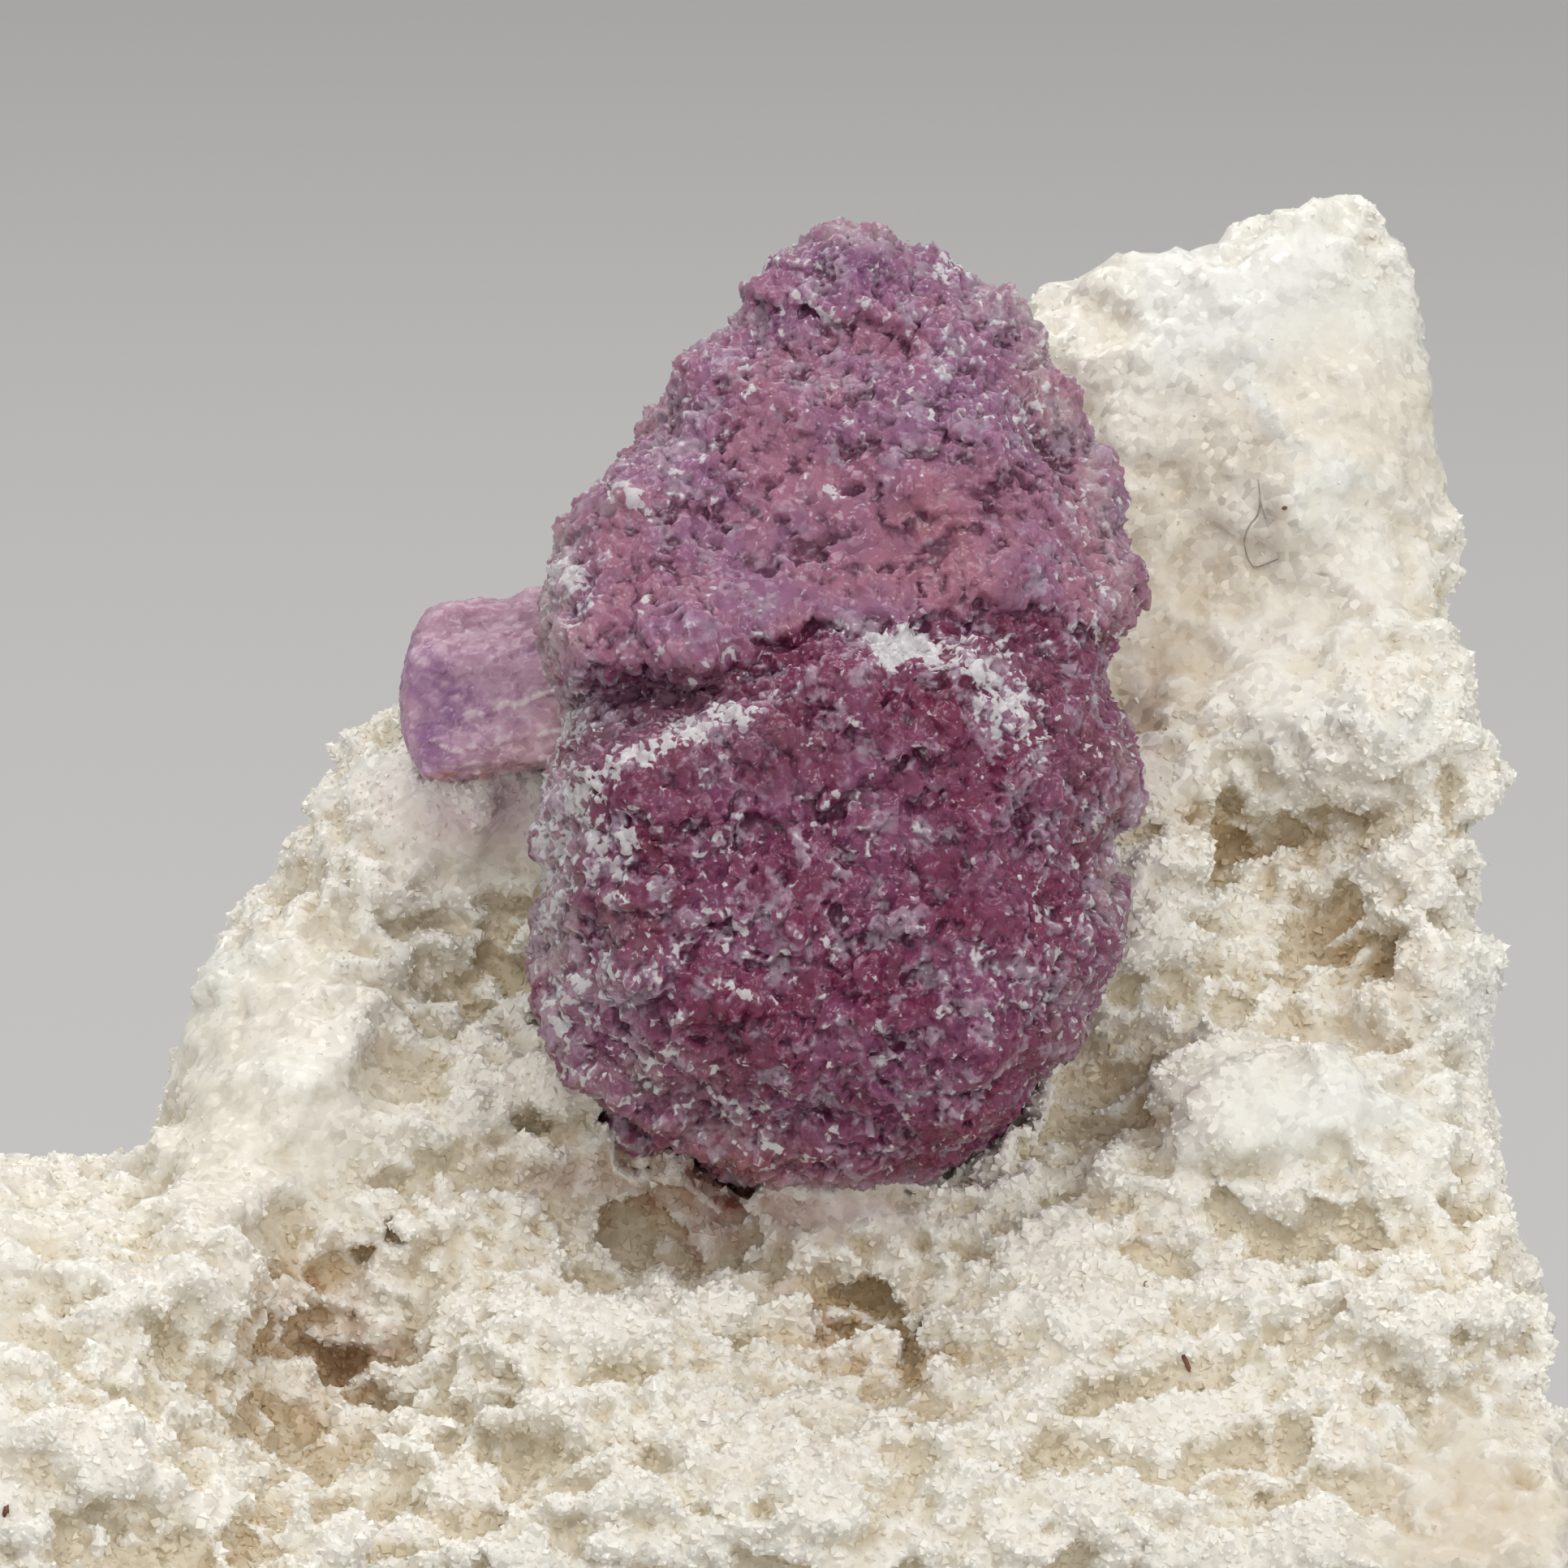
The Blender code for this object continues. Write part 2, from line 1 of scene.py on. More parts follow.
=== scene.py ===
import math
import random
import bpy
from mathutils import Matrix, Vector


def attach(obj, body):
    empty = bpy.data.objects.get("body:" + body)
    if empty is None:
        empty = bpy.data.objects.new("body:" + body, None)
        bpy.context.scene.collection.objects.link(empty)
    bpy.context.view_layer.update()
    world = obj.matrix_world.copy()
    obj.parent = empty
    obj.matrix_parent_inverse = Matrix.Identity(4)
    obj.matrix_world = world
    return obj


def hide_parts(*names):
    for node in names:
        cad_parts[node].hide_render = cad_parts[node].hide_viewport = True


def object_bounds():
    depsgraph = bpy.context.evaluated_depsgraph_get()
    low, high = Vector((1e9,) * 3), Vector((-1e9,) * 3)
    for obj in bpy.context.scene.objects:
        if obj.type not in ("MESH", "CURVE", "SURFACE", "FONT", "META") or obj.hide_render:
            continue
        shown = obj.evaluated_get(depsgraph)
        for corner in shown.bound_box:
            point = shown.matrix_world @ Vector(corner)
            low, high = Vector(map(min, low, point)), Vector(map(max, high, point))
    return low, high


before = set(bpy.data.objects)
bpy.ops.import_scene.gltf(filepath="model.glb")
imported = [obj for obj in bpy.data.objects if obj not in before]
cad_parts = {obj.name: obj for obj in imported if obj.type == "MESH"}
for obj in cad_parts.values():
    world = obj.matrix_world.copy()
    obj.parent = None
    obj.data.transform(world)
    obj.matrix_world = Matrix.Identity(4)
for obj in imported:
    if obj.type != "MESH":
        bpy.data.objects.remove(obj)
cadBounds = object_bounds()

from types import SimpleNamespace

import bmesh
import bpy
import numpy as np
from mathutils import Matrix, Vector
from mathutils.bvhtree import BVHTree

# Fluorite on quartz. Shapes and masks are laid out in millimetres as the photograph shows them:
# u to the right, v up and w towards the camera, from the middle of the picture.
view = {
    "middle": Vector((0.00244, 0.00045, 0.0263)),  # where the middle of the picture falls on the rock
    "elevation": 8.0,                              # degrees that the camera looks down
    "frameWidth": 0.0400,
    "pixels": 1932,
    "distance": 0.42,
    "sensor": 36.0,
}
tilt = math.radians(view["elevation"])
axes = np.array([
    (1, 0, 0),
    (0, math.sin(tilt), math.cos(tilt)),
    (0, -math.cos(tilt), math.sin(tilt)),
])
mm = 0.001


def paint(red, green, blue):
    # a colour as seen on screen, 0 to 255, made linear
    parts = [c / 255 for c in (red, green, blue)]
    return tuple(c / 12.92 if c <= 0.04045 else ((c + 0.055) / 1.055) ** 2.4 for c in parts) + (1.0,)


class Wire:
    # a socket of a shader or geometry tree; its operators add Math nodes

    def __init__(self, tree, socket=None):
        self.tree, self.socket = tree, socket

    def node(self, kind, settings=None, sockets=None, out=0):
        made = self.tree.nodes.new(kind)
        for name, value in (settings or {}).items():
            setattr(made, name, value)
        for name, value in (sockets or {}).items():
            if isinstance(value, Wire):
                self.tree.links.new(value.socket, made.inputs[name])
            else:
                made.inputs[name].default_value = value
        return Wire(self.tree, made.outputs[out] if len(made.outputs) else None)

    def other(self, out):
        # another output of the same node
        return Wire(self.tree, self.socket.node.outputs[out])

    def maths(self, operation, *values):
        return self.node("ShaderNodeMath", {"operation": operation}, dict(enumerate(values)))

    def vector(self, operation, second, out=0):
        # vector maths; SCALE takes one number
        sockets = {0: self, "Scale" if operation == "SCALE" else 1: second}
        return self.node("ShaderNodeVectorMath", {"operation": operation}, sockets, out)

    def __add__(self, other):
        return self.maths("ADD", self, other)

    def __sub__(self, other):
        return self.maths("SUBTRACT", self, other)

    def __mul__(self, other):
        return self.maths("MULTIPLY", self, other)

    def __truediv__(self, other):
        return self.maths("DIVIDE", self, other)

    def __pow__(self, other):
        return self.maths("POWER", self, other)

    def __radd__(self, other):
        return self.maths("ADD", other, self)

    def __rsub__(self, other):
        return self.maths("SUBTRACT", other, self)

    def __rmul__(self, other):
        return self.maths("MULTIPLY", other, self)

    def ramp(self, low, high, toLow=0.0, toHigh=1.0):
        # this value from low..high onto toLow..toHigh, eased at both ends
        sockets = {0: self, 1: low, 2: high, 3: toLow, 4: toHigh}
        return self.node("ShaderNodeMapRange", {"interpolation_type": "SMOOTHSTEP"}, sockets)


def makeObject(name, data):
    obj = bpy.data.objects.new(name, data)
    bpy.context.scene.collection.objects.link(obj)
    return obj


def meshFrom(bm, name):
    mesh = bpy.data.meshes.new(name)
    bm.to_mesh(mesh)
    bm.free()
    return mesh


def triangleCount(mesh):
    return sum(len(p.vertices) - 2 for p in mesh.polygons)


def readAll(items, name, width=1, kind=np.float32):
    # one value of every item, in rows of this width
    values = np.empty(len(items) * width, kind)
    items.foreach_get(name, values)
    return values.reshape(-1, width) if width > 1 else values


def getPoints(mesh):
    return readAll(mesh.vertices, "co", 3).astype(float)


def setPoints(mesh, points):
    mesh.vertices.foreach_set("co", np.asarray(points, np.float32).ravel())
    mesh.update()


def getNormals(mesh):
    return readAll(mesh.vertex_normals, "vector", 3).astype(float)


def facing(mesh):
    # 1 where the mesh faces the camera, -1 where it faces away
    return getNormals(mesh) @ axes[2]


def viewOf(mesh):
    # u, v and w of each point
    return ((getPoints(mesh) - np.array(view["middle"])) @ axes.T * 1000).T


def setFields(mesh, fields):
    for name, values in fields.items():
        layer = mesh.attributes.get(name) or mesh.attributes.new(name, "FLOAT", "POINT")
        layer.data.foreach_set("value", np.asarray(values, np.float32))


def applied(obj):
    # the object's mesh with its modifiers in it, and the object itself gone
    graph = bpy.context.evaluated_depsgraph_get()
    mesh = bpy.data.meshes.new_from_object(obj.evaluated_get(graph))
    bpy.data.objects.remove(obj)
    return mesh


def modified(mesh, kind, **settings):
    obj = makeObject("work", mesh)
    modifier = obj.modifiers.new(kind, kind)
    for name, value in settings.items():
        setattr(modifier, name, value)
    return applied(obj)


def remeshed(mesh, cell):
    return modified(mesh, "REMESH", mode="VOXEL", voxel_size=cell)


def weldedCopy(node):
    # a CAD node's mesh with its loose triangles merged
    bm = bmesh.new()
    bm.from_mesh(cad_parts[node].data)
    bmesh.ops.remove_doubles(bm, verts=bm.verts, dist=1e-6)
    return meshFrom(bm, node + "Copy")


def thinnedTo(mesh, triangles, loose):
    # collapses edges until about this many triangles are left, only where loose is over 0 and most where it is 1
    obj = makeObject("work", mesh)
    group = obj.vertex_groups.new(name="loose")
    levels = np.round(np.asarray(loose) * 10).astype(int)
    for level in range(1, 11):
        group.add([int(i) for i in np.flatnonzero(levels == level)], level / 10, "REPLACE")
    modifier = obj.modifiers.new("thin", "DECIMATE")
    modifier.ratio = min(triangles / triangleCount(mesh), 1)
    modifier.vertex_group = "loose"
    modifier.vertex_group_factor = 4.0
    modifier.use_collapse_triangulate = True
    return applied(obj)


def neighbourMean(mesh, values, rounds):
    # values averaged with their neighbours, several times over
    a, b = readAll(mesh.edges, "vertices", 2, np.int32).T
    size = len(mesh.vertices)
    degree = np.bincount(a, minlength=size) + np.bincount(b, minlength=size)
    mean = np.array(values, float)
    for _ in range(rounds):
        total = np.bincount(a, weights=mean[b], minlength=size) + np.bincount(b, weights=mean[a], minlength=size)
        mean = 0.5 * mean + 0.5 * total / np.maximum(degree, 1)
    return mean


def meanPoints(mesh, rounds):
    points = getPoints(mesh)
    return np.column_stack([neighbourMean(mesh, points[:, k], rounds) for k in range(3)])


def relaxed(mesh, rounds):
    setPoints(mesh, meanPoints(mesh, rounds))
    return mesh


def evened(mesh, rounds, backOut=1.04):
    # small lumps smoothed away without drawing the whole in
    for _ in range(rounds):
        relaxed(mesh, 1)
        points = getPoints(mesh)
        soft = getPoints(relaxed(mesh, 1))
        setPoints(mesh, points + backOut * (points - soft))
    return mesh


def raised(mesh, rise):
    # each point moved along its normal by its own rise in mm
    setPoints(mesh, getPoints(mesh) + getNormals(mesh) * (rise * mm)[:, None])


def heightOver(mesh, rounds):
    # how far each point stands out of its relaxed surroundings, in mm
    return ((getPoints(mesh) - meanPoints(mesh, rounds)) * getNormals(mesh)).sum(1) * 1000


def treeOf(mesh):
    return BVHTree.FromPolygons([v.co for v in mesh.vertices], [p.vertices[:] for p in mesh.polygons])


def solidTree(node, cell=0.0004):
    # a CAD solid to measure from
    return treeOf(remeshed(weldedCopy(node), cell))


def heightAbove(mesh, ground):
    # signed distance of each point from another surface, in mm
    heights = []
    for vertex in mesh.vertices:
        spot, normal, face, distance = ground.find_nearest(vertex.co)
        heights.append((vertex.co - spot).dot(normal) * 1000)
    return np.array(heights)


def nearness(mesh, node, reach):
    # 1 where the mesh touches this solid, down to 0 at this reach from it
    tree = solidTree(node)
    near = np.zeros(len(mesh.vertices))
    for index, vertex in enumerate(mesh.vertices):
        spot, normal, face, distance = tree.find_nearest(vertex.co, reach)
        if spot is not None:
            near[index] = 1 - distance / reach
    return smoothStep(0.0, 0.7, near)


def closeIn(mesh, nodes, reach, whole=0.4, closeness=0.95):
    # draws the mesh up to these solids where it is nearer to them than this
    points = getPoints(mesh)
    for node in nodes:
        tree = solidTree(node)
        for index, point in enumerate(points):
            spot, normal, face, distance = tree.find_nearest(point, reach)
            if spot is not None:
                pull = min(1, (reach - distance) / (whole * reach)) * closeness
                points[index] += (np.array(spot) - point) * pull
    setPoints(mesh, points)


def smoothStep(low, high, values):
    t = np.clip((values - low) / (high - low), 0, 1)
    return t * t * (3 - 2 * t)


def between(low, lowFull, highFull, high, values):
    # 1 in the middle, easing to 0 at low and at high
    return smoothStep(low, lowFull, values) * (1 - smoothStep(highFull, high, values))


def alongLine(line, outside, inside, u):
    # 1 over the length of a line, easing out at its ends
    first, last = line[0][0], line[-1][0]
    return between(first - outside, first + inside, last - inside, last + outside, u)


def lineAt(u, line):
    return np.interp(u, [p[0] for p in line], [p[1] for p in line])


def hump(values, width):
    return np.exp(-((values / width) ** 2))


def bell(u, v, spot):
    # 1 in the middle of a spot, which starts with u, v, half width, half height
    su, sv, wide, high = spot[:4]
    return np.exp(-(((u - su) / wide) ** 2) - ((v - sv) / high) ** 2)


def spotSum(u, v, spots):
    # soft spots: (u, v, half width, half height, strength)
    return sum(spot[4] * bell(u, v, spot) for spot in spots)


def stepSum(u, v, steps, wave):
    # ledges: (line of u, v points; rise in mm just above the line; how far up it takes to fade)
    total = 0
    for line, rise, fade in steps:
        above = v - lineAt(u, line) - wave
        fading = np.exp(-np.clip(above, 0, None) / fade)
        total = total + rise * alongLine(line, 0.5, 0.3, u) * smoothStep(-0.08, 0.08, above) * fading
    return total


def pushedAlong(mesh, pushes):
    # shifts parts bodily: (u, v, half width, half height, shift to the right, up, towards the camera), in mm
    points = getPoints(mesh)
    u, v, w = viewOf(mesh)
    for push in pushes:
        points += bell(u, v, push)[:, None] * (push[4:] @ axes) * mm
    setPoints(mesh, points)
    return mesh


def geometryTree(name):
    tree = bpy.data.node_groups.new(name, "GeometryNodeTree")
    for direction in ("INPUT", "OUTPUT"):
        tree.interface.new_socket("Geometry", in_out=direction, socket_type="NodeSocketGeometry")
    return tree, Wire(tree).node("NodeGroupInput")


def finishTree(start, geometry):
    start.node("NodeGroupOutput", {}, {0: geometry})


def withTree(mesh, tree):
    return modified(mesh, "NODES", node_group=tree)


def viewPlace(start):
    # position in the picture's millimetres, as a vector
    moved = start.node("GeometryNodeInputPosition").vector("SUBTRACT", view["middle"])
    sockets = {"Vector": moved, "Angle": tilt - math.pi / 2}
    return start.node("ShaderNodeVectorRotate", {"rotation_type": "X_AXIS"}, sockets).vector("SCALE", 1000.0)


def noiseAt(place, scale, detail=2.0, roughness=0.5, out=0):
    sockets = {"Vector": place, "Scale": scale, "Detail": detail, "Roughness": roughness}
    return place.node("ShaderNodeTexNoise", {}, sockets, out)


def noiseOf(place, size, detail=2.0, roughness=0.5, offset=0.0):
    # about 0 to 1, in lumps of about this many millimetres
    return noiseAt(place.vector("ADD", (offset, 2 * offset, -offset)), 1 / size, detail, roughness)


def warped(place, size, amount):
    # the place shifted about by this many millimetres
    swirl = noiseAt(place, 1 / size, out=1)
    return place.vector("ADD", swirl.vector("SUBTRACT", (0.5, 0.5, 0.5)).vector("SCALE", 2 * amount))


def cellsOf(place, size, offset=0.0):
    # distance from the middle of each cell
    moved = place.vector("ADD", (offset, -offset, offset))
    return place.node("ShaderNodeTexVoronoi", {}, {"Vector": moved, "Scale": 1 / size})


def facetsOf(place, size, offset=0.0):
    # little flat faces, each tilted its own way: how far they stand up for a slope of 1, and a tone for each
    moved = place.vector("ADD", (offset, -offset, offset))
    cells = place.node("ShaderNodeTexVoronoi", {}, {"Vector": moved, "Scale": 1 / size})
    colour, centre = cells.other("Color"), cells.other("Position")
    lean = colour.vector("SUBTRACT", (0.5, 0.5, 0.5))
    rise = moved.vector("SUBTRACT", centre).vector("DOT_PRODUCT", lean, out=1) * 2.0
    return rise, place.node("ShaderNodeSeparateXYZ", {}, {0: colour}, out=2)


def pushedOut(start, geometry, distance):
    # moves each point along its normal by this many millimetres
    push = start.node("GeometryNodeInputNormal").vector("SCALE", distance * mm)
    return start.node("GeometryNodeSetPosition", {}, {"Geometry": geometry, "Offset": push})


def ownAttribute(start, name):
    return start.node("GeometryNodeInputNamedAttribute", {"data_type": "FLOAT"}, {"Name": name})


def stored(geometry, name, value):
    sockets = {"Geometry": geometry, "Name": name, "Value": value}
    return geometry.node("GeometryNodeStoreNamedAttribute", {"data_type": "FLOAT"}, sockets)


def withFields(mesh, noises, tones):
    # noises and tones kept on the mesh, because the shader takes longer over them
    tree, start = geometryTree("fields")
    place = viewPlace(start)
    shape = start
    for name, (size, detail) in noises.items():
        shape = stored(shape, name, noiseOf(place, size, detail, 0.65))
    for name, size in tones.items():
        shape = stored(shape, name, facetsOf(place, size)[1])
    finishTree(start, shape)
    return withTree(mesh, tree)


def shaderTree(name):
    made = bpy.data.materials.new(name)
    made.use_nodes = True
    made.node_tree.nodes.clear()
    return made, Wire(made.node_tree)


def finishMaterial(start, surface, **others):
    shader = start.node("ShaderNodeBsdfPrincipled", {}, surface)
    start.node("ShaderNodeOutputMaterial", {}, {"Surface": shader, **others})


def attributes(start, *names):
    # the mesh's own values, as part.name
    return SimpleNamespace(**{
        name: start.node("ShaderNodeAttribute", {"attribute_name": name}, out=2) for name in names
    })


def objectPlace(start):
    return start.node("ShaderNodeTexCoord", out=3)


def bumped(start, strength, height):
    return start.node("ShaderNodeBump", {}, {"Strength": strength, "Distance": 1.0, "Height": height})


def mixed(start, factor, first, second):
    sockets = {"Factor": factor, 6: first, 7: second}
    return start.node("ShaderNodeMix", {"data_type": "RGBA", "clamp_factor": True}, sockets, out=2)


def layered(start, colour, colours, factors):
    # each named colour laid over the ones before it, as far as its factor says
    for name, factor in factors.items():
        colour = mixed(start, factor, colour, paint(*colours[name]))
    return colour


# the quartz rock and its sugar; lengths without a note are in metres
rock = {
    "startCell": 0.0003,           # voxels, from the solid's copy to the finished skin
    "reliefCell": 0.0002,
    "cell": 0.00015,
    "skinCell": 0.00013,
    "triangles": 190000,
    "flatten": (0.75, 1.3, 1.0),   # the plates lie a little wider than high
    "plates": (0.90, 0.60, 0.15),  # height of the broken plates, from the widest to the narrowest
    "clumps": 0.12,                # height of the sugary clumps
    "facets": (0.22, 0.30),        # slope of the small broken faces, wide and narrow
    "calm": {"swell": 0.30, "waves": 0.30, "plates": 0.16, "facets": 0.55, "crackle": 0.16},  # on milky quartz
    "rim": 0.0015,                 # quartz nearer to a crystal than this closes in on it
    "behind": 0.0009,              # quartz this near to a crystal's back can't be seen
    "grainGap": 0.000175,
    "grainSizes": (0.00013, 0.00038),
    "grainSink": 0.10,             # of a grain's size
    "grainPieces": 3,
    "grainFloor": (0.0002, 0.0007),  # no grains below the first height, all of them above the second
    "inset": 0.0002,               # how far the rock stays inside the solids' box, so that its grains do too
    "flatFaces": 0.00022,
    "colours": {
        # the raised colour is the quartz as lit, and the low colour the same quartz in painted shade
        "raised": (236, 232, 222), "low": (214, 203, 180), "milkyDim": (216, 208, 190), "milky": (236, 234, 226),
        "snow": (227, 230, 228), "brown": (190, 167, 132), "iron": (166, 104, 84), "lilac": (222, 198, 208),
        "white": (244, 242, 235),
    },
    # soft spots: (u, v, half width, half height, strength)
    "milky": [
        (-13.5, -7.0, 3.6, 4.6, 1.0), (12.5, 11.0, 6.0, 6.6, 1.2), (11.0, 4.5, 4.5, 4.0, 0.8),
        (-22.0, -12.5, 4.5, 3.5, 0.7), (13.0, -8.2, 4.2, 1.9, 0.9), (17.5, -18.5, 3.0, 2.6, 1.2),
        (-8.0, -1.6, 2.6, 1.3, 0.8), (1.6, -10.9, 1.8, 0.7, 0.8), (-10.2, 1.2, 1.0, 1.6, 0.6),
    ],
    # brown in the recesses: partly stain, partly painted shade
    "brown": [
        (-11.9, -14.6, 1.6, 2.2, 1.6), (-11.0, -11.8, 1.3, 1.0, 0.7), (-3.6, -10.4, 2.6, 1.2, 0.8),
        (12.4, -1.4, 2.8, 0.8, 0.9), (10.8, -0.9, 0.9, 0.8, 0.5), (15.2, -4.9, 1.2, 1.2, 0.7),
        (8.4, -7.8, 1.3, 1.6, 0.6), (2.4, -14.0, 1.8, 1.4, 1.6), (15.0, -4.9, 1.8, 1.6, 0.5),
        (-13.4, -19.0, 0.7, 0.6, 0.7), (-7.9, -4.7, 0.9, 0.9, 0.45), (-12.4, -3.1, 0.9, 0.6, 0.4),
        (9.0, 2.4, 1.0, 2.4, 0.4), (-14.4, -14.5, 1.6, 0.6, 0.4), (8.6, -11.7, 0.5, 0.7, 0.5),
        (-6.4, -8.2, 0.8, 1.4, 0.4), (17.6, -18.8, 2.6, 1.9, 1.2), (0.8, -11.2, 2.2, 0.7, 0.6),
        (9.6, 5.0, 2.0, 4.4, 0.4),
    ],
    "iron": [
        (-1.6, -10.6, 1.7, 1.1, 1.1), (-2.8, -9.3, 1.6, 0.5, 1.0), (-0.6, -10.1, 1.0, 0.45, 1.0),
        (-11.4, -14.0, 1.4, 1.6, 0.4), (0.9, -13.4, 0.5, 0.7, 0.6),
    ],
    "lilac": [  # light from the crystals
        (-7.4, -0.6, 2.4, 1.1, 0.75), (-6.4, 2.0, 1.0, 1.6, 0.6), (-5.4, -10.2, 1.6, 0.5, 0.25),
        (9.2, 1.0, 0.6, 2.6, 0.2), (1.6, -10.8, 2.0, 0.6, 0.35),
    ],
    # painted highlight, whiter and cooler, where ridges, ledge tops and bulges catch the light
    "snow": [  # whiter and cooler
        (12.6, 13.6, 5.5, 2.6, 0.9), (13.1, 10.2, 0.4, 1.9, 0.9), (13.6, 7.6, 0.5, 0.8, 0.8),
        (14.9, 1.6, 3.2, 0.45, 0.8), (18.0, -5.4, 1.4, 1.8, 0.8), (-15.5, -4.6, 1.2, 2.6, 0.7),
        (-8.9, 0.2, 1.6, 0.8, 0.7), (13.4, -8.0, 3.4, 1.2, 0.6),
    ],
    "steps": [
        ([(11.0, 1.3), (13.1, 1.0), (15.2, 1.3), (16.9, 1.6), (18.5, 1.4)], 0.35, 1.4),
        ([(-15.9, -13.6), (-14.6, -13.2), (-13.2, -13.7), (-12.3, -14.1)], 0.60, 1.5),
        ([(-17.2, -17.7), (-15.9, -16.8), (-14.5, -16.0)], 0.50, 1.4),
        ([(-20.6, -12.3), (-17.9, -12.7), (-16.0, -13.1)], 0.30, 1.2),
        ([(-8.4, -16.4), (-6.7, -15.9), (-4.3, -17.1), (-2.4, -16.4), (-0.1, -17.3)], 0.45, 1.2),
        ([(-7.8, -18.0), (-5.5, -18.4), (-3.4, -17.8), (-0.7, -18.2)], 0.40, 0.9),
        ([(-8.4, -19.1), (-5.9, -19.5), (-3.4, -18.9), (0.7, -19.4)], 0.35, 0.9),
        ([(0.9, -15.7), (2.8, -15.2), (5.5, -15.9), (7.5, -15.2)], 0.40, 1.2),
        ([(3.8, -17.9), (6.9, -17.4), (10.0, -18.1), (12.3, -17.6)], 0.40, 1.2),
        ([(10.6, 6.8), (13.1, 6.3), (16.2, 6.8)], 0.20, 1.6),
        ([(9.8, 3.9), (13.1, 3.4), (17.3, 4.1)], 0.22, 1.6),
        ([(10.2, -10.6), (12.6, -11.3), (14.6, -10.7), (16.6, -11.2)], 0.35, 1.2),
        ([(-17.6, -9.6), (-15.6, -9.9), (-13.4, -9.4)], 0.25, 1.2),
    ],
    "hollows": [  # depth in mm for the strength, below 0 for a lump
        (-12.0, -14.7, 1.0, 1.4, 0.8), (-11.0, -11.9, 0.9, 0.6, 0.5), (-13.3, -19.0, 0.45, 0.35, 0.6),
        (2.3, -14.0, 1.3, 0.9, 0.7), (-4.6, -11.6, 1.6, 0.5, 0.35), (0.6, -10.6, 2.6, 0.5, -0.4),
        (-7.6, -0.35, 1.9, 0.55, -0.5), (11.6, -1.5, 1.6, 0.7, 0.5), (14.0, -1.2, 1.3, 0.5, 0.3),
        (15.4, -4.8, 0.7, 0.9, 0.45), (8.3, -7.9, 0.9, 1.0, 0.5), (8.6, -11.7, 0.4, 0.6, 0.4),
        (-12.4, -3.1, 0.8, 0.5, 0.4), (-11.0, -8.5, 0.35, 0.3, 0.4), (-7.8, -4.8, 0.5, 0.6, 0.4),
        (12.7, -0.3, 1.0, 0.28, -0.6), (9.8, -2.0, 0.9, 1.7, -0.9), (16.7, -3.1, 1.2, 1.3, -0.5),
        (-10.1, -11.2, 0.5, 0.35, -0.5), (-11.2, -13.0, 0.6, 0.3, -0.5), (13.2, 10.2, 0.45, 2.0, -0.3),
        (13.4, 7.6, 0.5, 0.9, -0.25),
    ],
    "pushes": [
        (18.3, 1.8, 1.6, 1.3, -0.75, 0.0, 0.0), (18.6, -6.0, 2.0, 1.6, -0.55, 0.0, 0.0),
        (19.2, -9.6, 2.0, 2.4, -0.60, 0.0, 0.0), (19.9, -14.0, 2.0, 2.4, -0.55, 0.0, 0.0),
        (16.8, 13.4, 1.5, 0.8, -0.40, 0.0, 0.0), (15.3, 15.0, 1.7, 1.4, 0.0, 0.40, 0.0),
        (17.4, 7.3, 2.0, 1.0, -0.35, 0.0, 0.0), (9.4, 13.2, 1.6, 0.9, 0.0, 0.25, 0.0),
        (-14.8, -5.2, 1.5, 1.6, -0.35, 0.0, 0.0), (-13.6, -2.2, 0.9, 0.8, 0.35, -0.40, 0.0),
        (-12.5, -0.7, 0.8, 0.7, -0.35, 0.25, 0.0), (-10.9, 1.3, 1.1, 1.0, -0.20, 0.30, 0.0),
        (-18.6, -9.2, 3.6, 1.1, 0.0, -0.60, 0.0), (-2.8, -9.7, 1.9, 0.9, 0.0, 0.0, 1.7),
        (-4.7, -9.0, 1.0, 0.8, 0.0, 0.0, 0.8), (3.6, -10.1, 1.8, 0.8, 0.0, 0.0, 0.8),
        (6.3, -8.7, 1.0, 1.0, 0.0, 0.0, 0.6), (-7.0, -1.1, 1.6, 0.7, 0.0, 0.25, 0.7),
    ],
}


def wobbled(u, v, w):
    # the picture's millimetres bent a little, and more behind, so that no spot or ledge looks drawn
    bentU = u + 0.45 * np.sin(v * 1.9 + 1.3) + 0.26 * np.sin(v * 4.3 + u) + 0.12 * np.sin(v * 9.7)
    bentV = v + 0.38 * np.sin(u * 2.1) + 0.24 * np.sin(u * 5.3 + v) + 0.12 * np.sin(u * 11.3 + 2.0)
    behind = 1 - smoothStep(-9, -3, w)
    bentU += behind * (2.2 * np.sin(w * 0.7 + v * 0.45) + 0.8 * np.sin(v * 1.3 + w))
    bentV += behind * (2.0 * np.sin(w * 0.6 + u * 0.5) + 0.8 * np.sin(u * 1.4 + w))
    return bentU, bentV


def rockRelief(u, v, w):
    wave = 0.22 * np.sin(u * 2.3 + v) + 0.16 * np.sin(u * 5.1 + 1.7)
    wave = wave + 0.10 * np.sin(u * 11.0) + 0.07 * np.sin(u * 23.0)
    return stepSum(u, v, rock["steps"], wave) - spotSum(*wobbled(u, v, w), rock["hollows"])


def rockMask(mesh, name):
    return np.clip(spotSum(*wobbled(*viewOf(mesh)), rock[name]), 0, 1)


